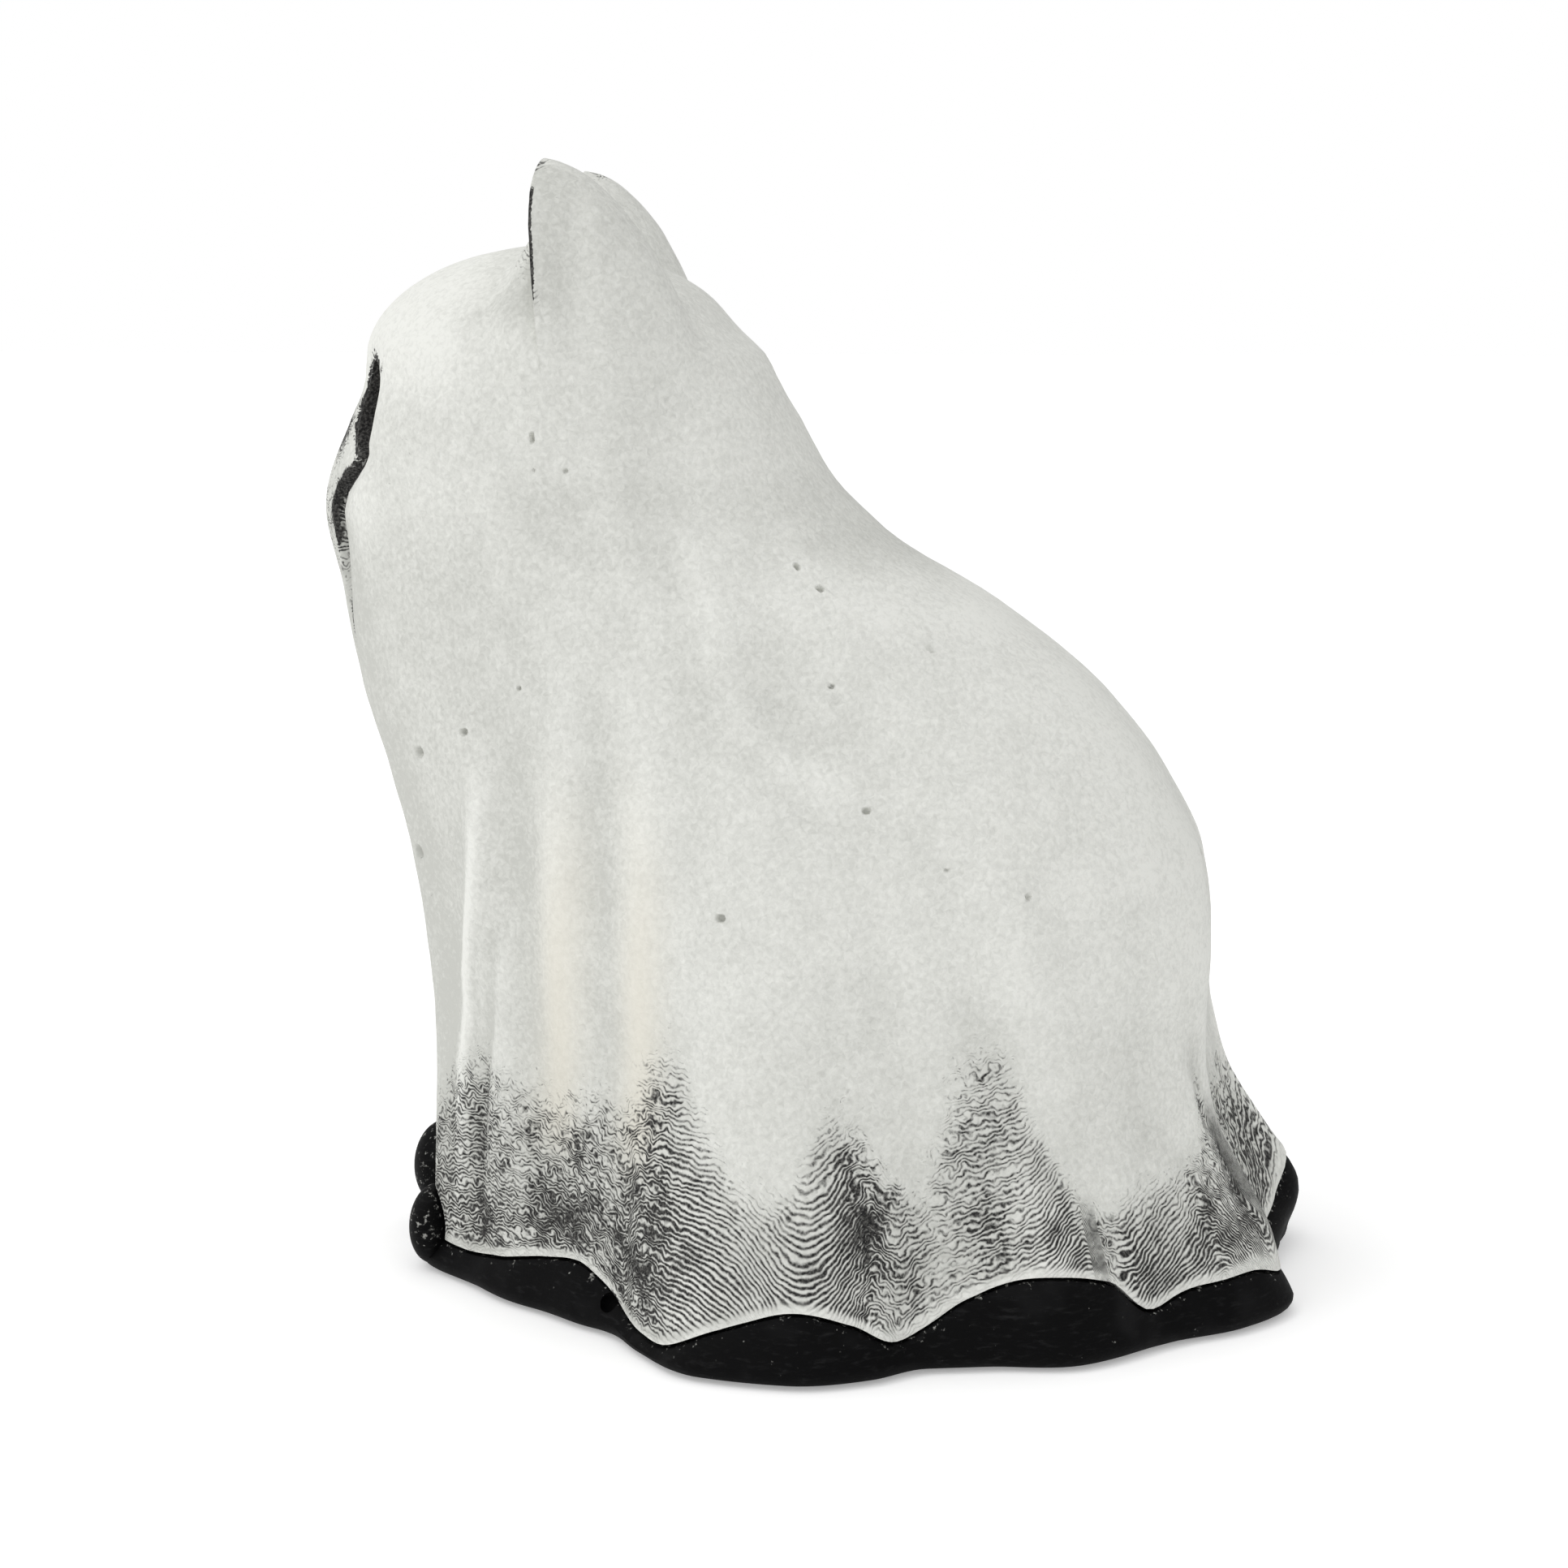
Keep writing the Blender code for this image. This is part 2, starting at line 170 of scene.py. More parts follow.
# Fine ridges and valleys: path of (height, direction), half width in mm, height in mm.
# Directions become millimetres at RIDGE_RADIUS from the centre line.
RIDGE_RADIUS = 20.0
RIDGES = (
    (((3, 16.5), (11, 18.1), (17, 19.2), (24, 23), (31, 30), (37, 34.5), (42, 38)), 0.74, 0.46),
    (((5, 21), (12, 21.9), (18, 25.9), (25, 31), (31, 35)), 0.7, -0.4),
    (((9, 9), (26, 10), (46, 13)), 1.8, -0.3),
    (((14, 41), (20, 43.2), (26, 45.6), (32, 48), (38, 52), (43, 57), (52, 68)), 1.7, 0.3),
    (((15, 60), (21, 62.3), (27, 64.8), (33, 66), (42, 74)), 1.7, 0.28),
    (((12, 34), (22, 36), (31, 39.5), (37, 43), (46, 49)), 1.8, -0.34),
    (((12, 53), (23, 54.7), (32, 57.7), (38, 61), (48, 72)), 2, -0.3),
    (((14, 71), (24, 74), (33, 76.6), (41, 83), (50, 92)), 2.4, -0.28),
    (((58, 121), (55, 117), (51, 108.4), (47, 101), (43.6, 99.5), (41, 105), (39, 116)), 1.5, 0.22),
    (((41, 105), (39.3, 115), (37.6, 126)), 2, 0.16),
    (((54, 127), (49, 119), (45.5, 111), (44, 117)), 2, -0.14),
    (((48, 94), (44, 93), (39, 99), (37, 108)), 2, -0.14),
    (((68, 117), (60, 110), (54, 97), (47, 88)), 1.8, 0.16),
    (((69, 96), (61, 92), (54, 80)), 3.4, -0.34),
    (((30, 104), (20, 101), (12, 99)), 3.2, -0.3),
    (((28, 122), (20, 127), (12, 134), (6, 139)), 2, -0.4),
    (((22, 164), (16, 166), (12.5, 168), (9.5, 167), (6.5, 165)), 1.3, -0.8),
    (((14, 157.5), (9, 157), (5, 156)), 1.3, -0.35),
    (((3, -16), (18, -18), (25, -23), (37, -34), (45, -39)), 0.55, 0.48),
    (((5, -21), (18, -26), (31, -35)), 0.75, -0.36),
    (((9, -9), (26, -10), (46, -13)), 1.8, -0.3),
    (((14, -41), (26, -46), (38, -52), (52, -68)), 1.7, 0.3),
    (((15, -60), (27, -65), (42, -74)), 1.7, 0.28),
    (((12, -34), (31, -40), (46, -49)), 1.8, -0.34),
    (((12, -53), (32, -58), (48, -72)), 2, -0.3),
    (((14, -73), (33, -78), (50, -92)), 2.4, -0.28),
    (((58, -121), (51, -108), (43.6, -100), (41, -105), (39, -116)), 1.6, 0.2),
    (((54, -127), (49, -119), (44, -115)), 2, -0.14),
    (((69, -96), (61, -92), (54, -80)), 3.4, -0.34),
    (((28, -110), (18, -107), (9, -105)), 3, -0.34),
    (((22, -150), (14, -148), (7, -146)), 1.4, -0.6),
    (((20, 180), (9, 179)), 2.4, -0.34),
)
# Soft swells and hollows of the head: centre, reach in x, y and z, height in mm. Both sides.
SWELLS = (
    ((15.6, -17.2, 74.6), (3, 1.5, 4.2), -0.42),
    ((14.8, -15.9, 78), (3, 1, 3), 0.22),
    ((13.2, -22.3, 72), (2.2, 1.3, 1.4), 0.35),
    ((13.4, -25.6, 69), (3, 2.6, 3), -0.22),
    ((0, -35.8, 66.8), (3.2, 2.2, 3), -0.55),
    ((8.8, -34, 57.5), (3.2, 2.6, 3.4), 0.3),
    ((0, -7.2, 71.3), (11, 4, 2.2), -0.8),
    ((0, -5, 66.9), (11, 4, 1.5), 0.32),
    ((0, -2.8, 63.6), (10, 4, 2.6), -0.15),
)
# Bubble pits on the sheet: (direction, height, radius along, radius up).
PITS = (
    (92.9, 63.4, 0.22, 0.48), (99.3, 61.5, 0.2, 0.22), (91, 61.5, 0.14, 0.14),
    (103.6, 80.9, 0.26, 0.26), (138.4, 54.5, 0.24, 0.58), (137.5, 53, 0.38, 0.26),
    (122.5, 46.8, 0.26, 0.22), (146, 48.6, 0.18, 0.18), (50.4, 46, 0.2, 0.2),
    (34.8, 42.3, 0.36, 0.32), (22.4, 40.2, 0.6, 0.44), (14.5, 32.1, 0.8, 0.58),
    (81.5, 30.8, 0.4, 0.34), (114.8, 38.3, 0.34, 0.28), (124.5, 34.4, 0.18, 0.18),
    (135.2, 32.4, 0.26, 0.24), (11.5, 19.8, 0.24, 0.3), (-64, 47, 0.36, 0.3),
    (-35, 30, 0.4, 0.34), (-120, 26, 0.34, 0.42), (175, 33, 0.34, 0.3),
    (-95, 20, 0.3, 0.3),
)
PIT_DEPTH = 0.55


def directions():
    """Directions round the axis in degrees, from -180 up to 180, denser where it matters."""
    half = [0.0]
    for end, steps in COLUMN_STEPS:
        half += list(np.linspace(half[-1], end, steps + 1)[1:])
    half = np.array(half)
    return np.concatenate([-half[::-1], half[1:-1]])


def smooth_curve(at, knots, values):
    """A smooth line through the knots, with no overshoot between them."""
    knots = np.asarray(knots, float)
    values = np.asarray(values, float)
    steps = np.diff(knots)
    slopes = np.diff(values) / steps
    tangents = np.zeros(len(knots))
    same_way = slopes[1:] * slopes[:-1] > 0
    weight = steps[1:] + steps[:-1]
    blended = weight * slopes[1:] * slopes[:-1] * 1.5
    spread = steps[1:] * slopes[1:] * 1.5 + steps[:-1] * slopes[:-1] * 1.5
    tangents[1:-1][same_way] = blended[same_way] / spread[same_way]
    place = np.clip(np.searchsorted(knots, at, side="right") - 1, 0, len(steps) - 1)
    u = np.clip((at - knots[place]) / steps[place], 0, 1)
    rise = u * u * (3 - 2 * u)
    start = u * (1 - u) ** 2
    end = -u * u * (1 - u)
    lifted = values[place] + (values[place + 1] - values[place]) * rise
    return lifted + steps[place] * (start * tangents[place] + end * tangents[place + 1])


def around(degrees, sides):
    """The value of a two-sided table in each direction round the body."""
    left, right = [smooth_curve(np.abs(degrees), *zip(*side)) for side in sides]
    return np.where(degrees >= 0, left, right)


def smoothstep(low, high, value):
    """Smooth rise from 0 at low to 1 at high; high may lie below low."""
    t = np.clip((value - low) / (high - low), 0, 1)
    return t * t * (3 - 2 * t)


def bell(value):
    """One where the value is 0, falling smoothly away on both sides."""
    return np.exp(-(value**2))


def blob(points, centre, reach):
    """One at the centre, falling smoothly away in all directions."""
    offset = (points - np.array(centre)) / np.array(reach)
    return np.exp(-(offset**2).sum(axis=1))


def section(height):
    """Front, rear, half width and centre line of the body at each height."""
    table = np.array(SECTIONS, float)
    return [smooth_curve(height, table[:, 0], table[:, i]) for i in range(1, 5)]


def angle_gap(a, b):
    return (a - b + 180.0) % 360.0 - 180.0


def fold_relief(degrees, height):
    relief = np.zeros_like(degrees)
    rise = np.clip(height / FOLD_TOP, 0, 1)
    fade = np.sin(math.pi * np.clip(height / FOLD_TOP, 0.02, 1) ** 0.8) ** 0.8
    for low, high, width, depth in FOLDS:
        offset = (degrees - (low + (high - low) * rise)) / width
        relief += depth * fade * (bell(offset) - 0.45 * bell(offset + 1.9))
    return relief


def lobe_relief(degrees, height):
    fade = LOBE_KEPT + (1 - LOBE_KEPT) * np.exp(-((height / LOBE_HEIGHT) ** 1.3))
    fade = fade * (1 - np.clip((height - 30) / 26, 0, 1) ** 2)
    return around(degrees, LOBES) * fade


def polyline_distance(across, height, path):
    """Distance from a path of (height, across), and how far along the path it falls."""
    nearest = np.full(len(height), FAR)
    along = np.zeros(len(height))
    for i, ((low, start), (high, end)) in enumerate(zip(path[:-1], path[1:])):
        rise = high - low
        shift = end - start
        t = ((across - start) * shift + (height - low) * rise) / (shift**2 + rise**2)
        t = np.clip(t, 0, 1)
        away = np.hypot(across - start - t * shift, height - low - t * rise)
        closer = away < nearest
        nearest = np.where(closer, away, nearest)
        along = np.where(closer, (i + t) / (len(path) - 1), along)
    return nearest, along


def path_distance(direction, height, path):
    """The same in mm round the body, for a path of (height, direction)."""
    path = [(level, math.radians(turn) * RIDGE_RADIUS) for level, turn in path]
    return polyline_distance(np.radians(direction) * RIDGE_RADIUS, height, path)


def fine_relief(points):
    """Ridges and valleys that are too fine for the CAD solid."""
    direction = direction_of(points)
    height = points[:, 2]
    relief = np.zeros(len(points))
    for path, half_width, depth in RIDGES:
        turn = direction
        if path[0][1] > 150:
            turn = np.where(direction < -90, direction + 360, direction)
        away, along = path_distance(turn, height, path)
        fade = smoothstep(-0.02, 0.22, along) * (1 - smoothstep(0.78, 1.02, along))
        relief += depth * fade * bell(away / half_width)
    for (x, y, z), reach, depth in SWELLS:
        for side in (1, -1) if x else (1,):
            relief += depth * blob(points, (x * side, y, z), reach)
    return relief


def outline(degrees, height):
    """The centre line, and the distance from it to the sheet's outer surface."""
    front, rear, half_width, centre = section(height)
    angle = np.radians(degrees)
    side = np.abs(np.sin(angle))
    along = np.abs(np.cos(angle))
    reach = np.where(np.cos(angle) > 0, centre - front, rear - centre)
    power = np.where(np.cos(angle) > 0, FRONT_POWER, REAR_POWER)
    radius = ((side / half_width) ** power + (along / reach) ** power) ** (-1 / power)
    return centre, radius + lobe_relief(degrees, height) + fold_relief(degrees, height)


def body_ring(degrees, level, inset):
    hem = around(degrees, HEM)
    height = level + hem * np.clip(1 - level / HEM_REACH, 0, 1) ** 2
    centre, radius = outline(degrees, height)
    radius = radius - inset
    angle = np.radians(degrees)
    return np.stack([radius * np.sin(angle), centre - radius * np.cos(angle), height], axis=1)


def crown_ring(degrees, scale, inset):
    """One ring of the rounded crown, at a share of the width of its lowest ring."""
    base = body_ring(degrees, EQUATOR, inset)
    centre = np.array([0.0, CENTRE_Y])
    facing = np.cos(np.radians(degrees))
    power = CROWN_REAR_POWER + (CROWN_FRONT_POWER - CROWN_REAR_POWER) * (1 + facing) / 2
    rise = (1 - scale**power) ** (1 / power)
    flat = centre + (base[:, :2] - centre) * scale
    height = base[:, 2] + (CROWN_Z - inset - base[:, 2]) * rise
    return np.column_stack([flat, height])


def crown_point(inset):
    return np.array([[0.0, CENTRE_Y, CROWN_Z - inset]])


def ear_pull(across, back, below, front, rear):
    """How strongly each point follows the ear, from 0 at its border to 1 at its root."""
    distance = np.sqrt(across**2 + (back / np.where(back < 0, front, rear)) ** 2 + below**2)
    return np.clip(1 - distance**EAR_ROUNDNESS, 0, 1) ** EAR_BLEND


def raise_ear(points, side, root, reach_rear, share):
    """How far each point moves to form one ear: a lift, a hollow in front and a soft foot."""
    across = (points[:, 0] - root[0]) * side
    back = points[:, 1] - root[1]
    across = across / np.where(across > 0, EAR_REACH_OUT, EAR_REACH_IN)
    below = np.clip(root[2] - points[:, 2], 0, None)
    rise = ear_pull(across, back, below / EAR_RISE_FALL, EAR_REACH_FRONT, reach_rear)
    swell = ear_pull(across, back, below / EAR_FALL, EAR_SWELL_FRONT, reach_rear)
    out, forward, up = EAR_LIFT
    lift = np.stack([out * side * swell, forward * rise, up * share * rise], axis=1)
    bowl = np.sin(math.pi * rise) * np.clip(1 - (across / EAR_BOWL_SHARE) ** 2, 0, 1)
    bowl = bowl * smoothstep(*EAR_BOWL_LEVELS, points[:, 2])
    lift[:, 1] += np.where(back < 0, EAR_HOLLOW * bowl, 0.0)
    foot = ((points[:, 0] * side - EAR_FOOT[0]) / EAR_FOOT_REACH[0]) ** 2
    foot = foot + ((points[:, 1] - root[1] - EAR_FOOT[1]) / EAR_FOOT_REACH[1]) ** 2
    lift[:, 2] += EAR_FOOT[2] * np.exp(-foot) * (points[:, 2] > EQUATOR) * (1 - rise)
    return lift


def raise_ears(points):
    left, right = [raise_ear(points, *ear) for ear in EARS]
    return points + left + right


def push_snout(points):
    """Pushes the muzzle forward under the sheet."""
    moved = points.copy()
    moved[:, 1] -= SNOUT_OUT * blob(points, SNOUT, SNOUT_REACH)
    return moved


# ---------------------------------------------------------------- meshes
def add_object(name, data):
    body = bpy.data.objects.new(name, data)
    bpy.context.scene.collection.objects.link(body)
    return body


def loft_faces(rings, columns):
    column = np.arange(columns)
    after = (column + 1) % columns
    low = (np.arange(rings - 1) * columns)[:, None]
    corners = [low + column, low + after, low + columns + after, low + columns + column]
    return np.stack(corners, axis=2).reshape(-1, 4)


def loft(name, rings, start, end):
    """A closed loft. The two ends are closed by fans round a point."""
    columns = len(rings[0])
    points = np.concatenate(list(rings) + [start, end]) * MM
    quads = loft_faces(len(rings), columns).tolist()
    first = len(rings) * columns
    last_ring = first - columns
    for column in range(columns):
        after = (column + 1) % columns
        quads.append((first, after, column))
        quads.append((first + 1, last_ring + column, last_ring + after))
    mesh = bpy.data.meshes.new(name)
    mesh.from_pydata(points.tolist(), [], quads)
    mesh.update()
    mesh.shade_smooth()
    return add_object(name, mesh)


def vectors_of(mesh, kind):
    flat = np.empty(len(mesh.vertices) * 3)
    mesh.vertices.foreach_get(kind, flat)
    return flat.reshape(-1, 3)


def points_of(mesh):
    """The mesh points in millimetres."""
    return vectors_of(mesh, "co") / MM


def set_points(mesh, points):
    mesh.vertices.foreach_set("co", (points * MM).ravel())
    mesh.update()


def normals_of(mesh):
    return vectors_of(mesh, "normal")


def set_attributes(mesh, **named_values):
    """Stores one number per point under each name, for the materials."""
    for name, values in named_values.items():
        attribute = mesh.attributes.new(name, "FLOAT", "POINT")
        attribute.data.foreach_set("value", np.asarray(values, np.float32))


def direction_of(points):
    """Degrees from the front round the centre line, positive on the cat's left."""
    return np.degrees(np.arctan2(points[:, 0], -(points[:, 1] - section(points[:, 2])[3])))


def eye_cutter(side):
    """A long oval plug, slightly wider at the back, turned to face out of the eye."""
    angle = np.linspace(0.0, 2 * math.pi, 65)[:-1]
    turn = math.radians(EYE_TURN) * side
    rings = []
    for depth in (-0.5, 0.0, 0.5):
        wide = 0.46 + 0.08 * depth
        across = -np.cos(angle) * EYE_SIZE[0] * wide
        inward = np.full(len(angle), depth * EYE_DEPTH)
        x = across * math.cos(turn) - inward * math.sin(turn)
        y = across * math.sin(turn) + inward * math.cos(turn)
        rings.append(np.stack([x, y, np.sin(angle) * EYE_SIZE[1] * wide], axis=1))
    centre = np.array([EYE[0] * side, EYE[1], EYE[2]])
    rings = [ring + centre for ring in rings]
    ends = [ring.mean(axis=0)[None] for ring in (rings[0], rings[-1])]
    return loft("eye_cutter", rings, *ends)


def ellipsoid(name, centre, radii):
    angle = np.linspace(0.0, 2 * math.pi, 65)[:-1]
    rings = []
    for turn in np.linspace(0.0, math.pi, 42)[1:-1]:
        level = np.full(len(angle), -math.cos(turn))
        ring = [np.cos(angle) * math.sin(turn), np.sin(angle) * math.sin(turn), level]
        rings.append(np.stack(ring, axis=1) * radii + centre)
    ends = [np.array([[centre[0], centre[1], centre[2] + rise]]) for rise in (-radii[2], radii[2])]
    return loft(name, rings, *ends)


def boolean(body, cutters, operation):
    """Joins the cutters to the body or cuts them out of it, then removes them."""
    for cutter in cutters:
        modifier = body.modifiers.new(cutter.name, "BOOLEAN")
        modifier.operation = operation
        modifier.object = cutter
        modifier.solver = "EXACT"
    bpy.context.view_layer.objects.active = body
    for modifier in list(body.modifiers):
        bpy.ops.object.modifier_apply(modifier=modifier.name)
    for cutter in cutters:
        bpy.data.objects.remove(cutter, do_unlink=True)


def refine_near(mesh, spots, reach, longest):
    """Splits the long edges near the spots, so that small dents there are smooth."""
    work = bmesh.new()
    work.from_mesh(mesh)
    places = np.array([v.co for v in work.verts]) / MM
    near = np.zeros(len(places), bool)
    for spot, radius in zip(spots, reach):
        near |= ((places - spot) ** 2).sum(axis=1) < radius**2
    work.verts.ensure_lookup_table()
    edges = [e for e in work.edges if near[e.verts[0].index] and near[e.verts[1].index]]
    edges = [e for e in edges if e.calc_length() > longest * MM]
    bmesh.ops.subdivide_edges(work, edges=edges, cuts=1, use_grid_fill=True)
    work.to_mesh(mesh)
    work.free()
    mesh.update()


# ---------------------------------------------------------------- the sheet
def sheet_surface():
    """The closed shell, and how many of its first points lie on the inside."""
    degrees = directions()
    shares = np.linspace(0.0, 1.0, OUTER_RINGS)
    levels = EQUATOR * (0.55 * shares + 0.45 * shares**1.6)
    outer = [body_ring(degrees, level, 0.0) for level in levels]
    turn = np.linspace(0.0, 1.0, CAP_RINGS + 2)[1:-1]
    scales = np.cos(turn * math.pi / 2) * 0.35 + (1 - turn) * 0.65
    outer += [crown_ring(degrees, scale, 0.0) for scale in scales]
    outer = [push_snout(raise_ears(ring)) for ring in outer]
    inner = [body_ring(degrees, level, SHEET_WALL) for level in INNER_LEVELS]
    inner += [crown_ring(degrees, scale, SHEET_WALL) for scale in INNER_CAP]
    rings = list(reversed(inner)) + outer
    sheet = loft("sheet", rings, crown_point(SHEET_WALL), raise_ears(crown_point(0.0)))
    return sheet, len(inner) * len(degrees)


def hem_distance(points):
    """Height above the hem."""
    return points[:, 2] - around(direction_of(points), HEM)


def rim_width(points):
    """The worn white edge of the hem is wider at the two rear corners."""
    direction = np.abs(direction_of(points))
    return 0.40 + 0.80 * bell((direction - 168) / 7)


def drape(points, normals, wall):
    """Adds the fine folds, the swells of the head, a worn hem bead and slight hand-made waves."""
    relief = fine_relief(points)
    relief += 0.08 * bell(hem_distance(points) / (rim_width(points) * 1.2))
    waves = [noise.noise(Vector(p * 0.22)) + 0.5 * noise.noise(Vector(p * 0.55)) for p in points]
    relief += 0.07 * np.array(waves)
    return points + normals * np.where(wall, relief, 0.0)[:, None]


def pit_places(points):
    """Where each pit sits on the outer surface."""
    degrees = direction_of(points)
    places = []
    for turn, height, _, _ in PITS:
        miss = (angle_gap(degrees, turn) * 0.35) ** 2 + (points[:, 2] - height) ** 2
        places.append(points[np.argmin(miss)])
    return np.array(places)


def dent_pits(points, normals, places):
    """Pushes the surface in at each pit."""
    moved = points.copy()
    for place, (_, _, wide, tall) in zip(places, PITS):
        distance = pit_distance(points, place, wide, tall)
        depth = PIT_DEPTH * min(1, (wide + tall) / 0.8) * (1 - smoothstep(0.55, 1.05, distance))
        moved -= normals * depth[:, None]
    return moved


def pit_distance(points, place, wide, tall):
    """Distance from the middle of a pit, where 1 is its edge."""
    offset = points - place
    flat = np.hypot(offset[:, 0], offset[:, 1])
    return np.sqrt((flat / wide) ** 2 + (offset[:, 2] / tall) ** 2)


def eye_distance(points):
    """Distance outside each eye's oval edge, in millimetres, as seen along the eye's axis."""
    nearest = np.full(len(points), FAR)
    for side in (1.0, -1.0):
        turn = math.radians(EYE_TURN) * side
        offset = points - np.array([EYE[0] * side, EYE[1], EYE[2]])
        across = offset[:, 0] * math.cos(turn) + offset[:, 1] * math.sin(turn)
        depth = -offset[:, 0] * math.sin(turn) + offset[:, 1] * math.cos(turn)
        oval = np.sqrt((across / (EYE_SIZE[0] / 2)) ** 2 + (offset[:, 2] / (EYE_SIZE[1] / 2)) ** 2)
        away = (oval - 1.0) * (EYE_SIZE[0] + EYE_SIZE[1]) / 4
        nearest = np.minimum(nearest, np.where(depth > 2.0, FAR, away))
    return nearest


# The crease below each eye: (height, distance from the middle).
CREASE = (
    (62.6, 7.7), (61.6, 7.3), (60.8, 6.6), (59.9, 5.5), (59.1, 4.5), (57.7, 3.75), (54.8, 3.95),
    (52.6, 3.9), (50.4, 4), (47, 4.3),
)


def crease_offset(points):
    """Distance outward from the crease that runs down from each eye beside the muzzle."""
    knots = sorted(CREASE)
    across = np.abs(points[:, 0])
    nearest, _ = polyline_distance(across, points[:, 2], knots)
    away = np.where(across > smooth_curve(points[:, 2], *zip(*knots)), nearest, -nearest)
    return np.where(points[:, 1] < -28.0, away, FAR)


def crease_fade(height, low, high):
    """One along the crease, fading out from high to low and at its top."""
    return smoothstep(low, high, height) * (1 - smoothstep(61.6, 63, height))


def shape_face(points, normals):
    """Soft lips round the eye openings, and a step down from the muzzle to each cheek."""
    outside = eye_distance(points)
    lip = 0.50 * np.exp(-np.clip(outside, 0, None) / 0.7) * (outside < 6)
    away = crease_offset(points)
    cheek = np.where(away > 0, np.exp(-away / 1.3), 1 - smoothstep(0, 0.32, -away))
    step = 0.85 * cheek * crease_fade(points[:, 2], 47, 56)
    return points - normals * (lip + step)[:, None]


def eye_rim_places():
    """Points round the oval edge of each eye opening, on the surface of the face."""
    places = []
    for side in (1.0, -1.0):
        turn = math.radians(EYE_TURN) * side
        for angle in np.linspace(0.0, 2 * math.pi, 25)[:-1]:
            across = math.cos(angle) * EYE_SIZE[0] / 2
            rise = math.sin(angle) * EYE_SIZE[1] / 2
            x = EYE[0] * side + across * math.cos(turn)
            y = EYE[1] - EYE_RIM_AHEAD + across * math.sin(turn)
            places.append(np.array([x, y, EYE[2] + rise]))
    return places


def ear_edge_places():
    """Points down the front edge of each ear."""
    places = []
    for side, root, _, _ in EARS:
        for height in np.linspace(72.8, 80.8, 13):
            across = smooth_curve(height, *zip(*EAR_EDGE)) * side
            places.append(np.array([across, root[1] - 0.7, height]))
    return places


def crease_places(points, wall):
    """Points down the crease below each eye, on the surface of the face."""
    heights = np.linspace(48.0, 61.0, 16)
    widths = smooth_curve(heights, *zip(*sorted(CREASE)))
    places = []
    for side in (1.0, -1.0):
        for height, width in zip(heights, widths):
            miss = (points[:, 0] - width * side) ** 2 + (points[:, 2] - height) ** 2
            miss += FAR * ((points[:, 1] > FACE_REAR) | ~wall)
            places.append(points[np.argmin(miss)])
    return places


def refine_details(mesh, pits, lines):
    """Makes the mesh fine round the pits, creases, eye openings and ear edges."""
    reach = [max(wide, tall) * 1.7 + 0.75 for _, _, wide, tall in PITS]
    reach += [LINE_REACH] * len(lines)
    for share, longest in REFINE_ROUNDS:
        refine_near(mesh, list(pits) + lines, [r * share for r in reach], longest)


def cut_openings(sheet):
    """Cuts the eyes, room for the paws and the bubble hole at the hem."""
    boolean(sheet, [eye_cutter(1.0), eye_cutter(-1.0)], "DIFFERENCE")
    rooms = []
    for centre, radii in (LEFT_PAW, RIGHT_PAW):
        rooms.append(ellipsoid("paw_room", centre, [r + PAW_CLEARANCE for r in radii]))
    rooms.append(ellipsoid("hem_bubble", *HEM_BUBBLE))
    boolean(sheet, rooms, "DIFFERENCE")


def build_sheet():
    sheet, inner_count = sheet_surface()
    mesh = sheet.data
    points = points_of(mesh)
    index = np.arange(len(points))
    inner_top = len(points) - 2
    wall = (index >= inner_count) & (index != inner_top)
    set_points(mesh, drape(points, normals_of(mesh), wall))
    points = points_of(mesh)
    pits = pit_places(np.where(wall[:, None], points, FAR))
    refine_details(mesh, pits, crease_places(points, wall) + eye_rim_places() + ear_edge_places())
    points = points_of(mesh)
    wall = is_outer(points)[:, None]
    set_points(mesh, np.where(wall, shape_face(points, normals_of(mesh)), points))
    set_points(mesh, np.where(wall, dent_pits(points_of(mesh), normals_of(mesh), pits), points))
    cut_openings(sheet)
    keep_in_box(sheet)
    paint_sheet(mesh, pits)
    mesh.set_sharp_from_angle(angle=math.radians(50))
    return sheet


def is_outer(points):
    """True for points on the outside of the shell."""
    centre, radius = outline(direction_of(points), points[:, 2])
    flat = np.hypot(points[:, 0], points[:, 1] - centre)
    return (flat > radius - SHEET_WALL / 2) | (points[:, 2] > INNER_TOP)


def keep_in_box(body):
    low = np.array(cad_box[0]) / MM
    high = np.array(cad_box[1]) / MM
    set_points(body.data, np.clip(points_of(body.data), low, high))


# Height where the black wash starts to show, by direction from the front.
WASH = ((
    (0, 14), (10, 13), (19, 17), (27, 18), (36, 17.5), (45, 17), (50, 18), (57, 17),
    (61, 19), (65, 20.8), (69, 21.6), (73, 19), (77, 15.6), (81, 13), (87, 12.5),
    (91, 14.5), (97, 17.6), (101, 16.5), (105, 14), (109, 12.5), (114, 16), (119, 20), (123, 22.5),
    (127, 21.5), (131, 16.5), (135, 11.5), (140, 9.8), (144, 11.2), (152, 11.8), (158, 12.2), (164, 15.5),
    (172, 14.5), (180, 13.5),
), (
    (0, 14), (12, 12.5), (24, 16), (36, 17.5), (48, 14.5), (60, 19), (68, 17.5),
    (80, 13), (92, 18), (104, 13), (117, 20), (128, 14), (139, 12), (150, 15.5),
    (161, 16.5), (170, 15.5), (180, 13.5),
))
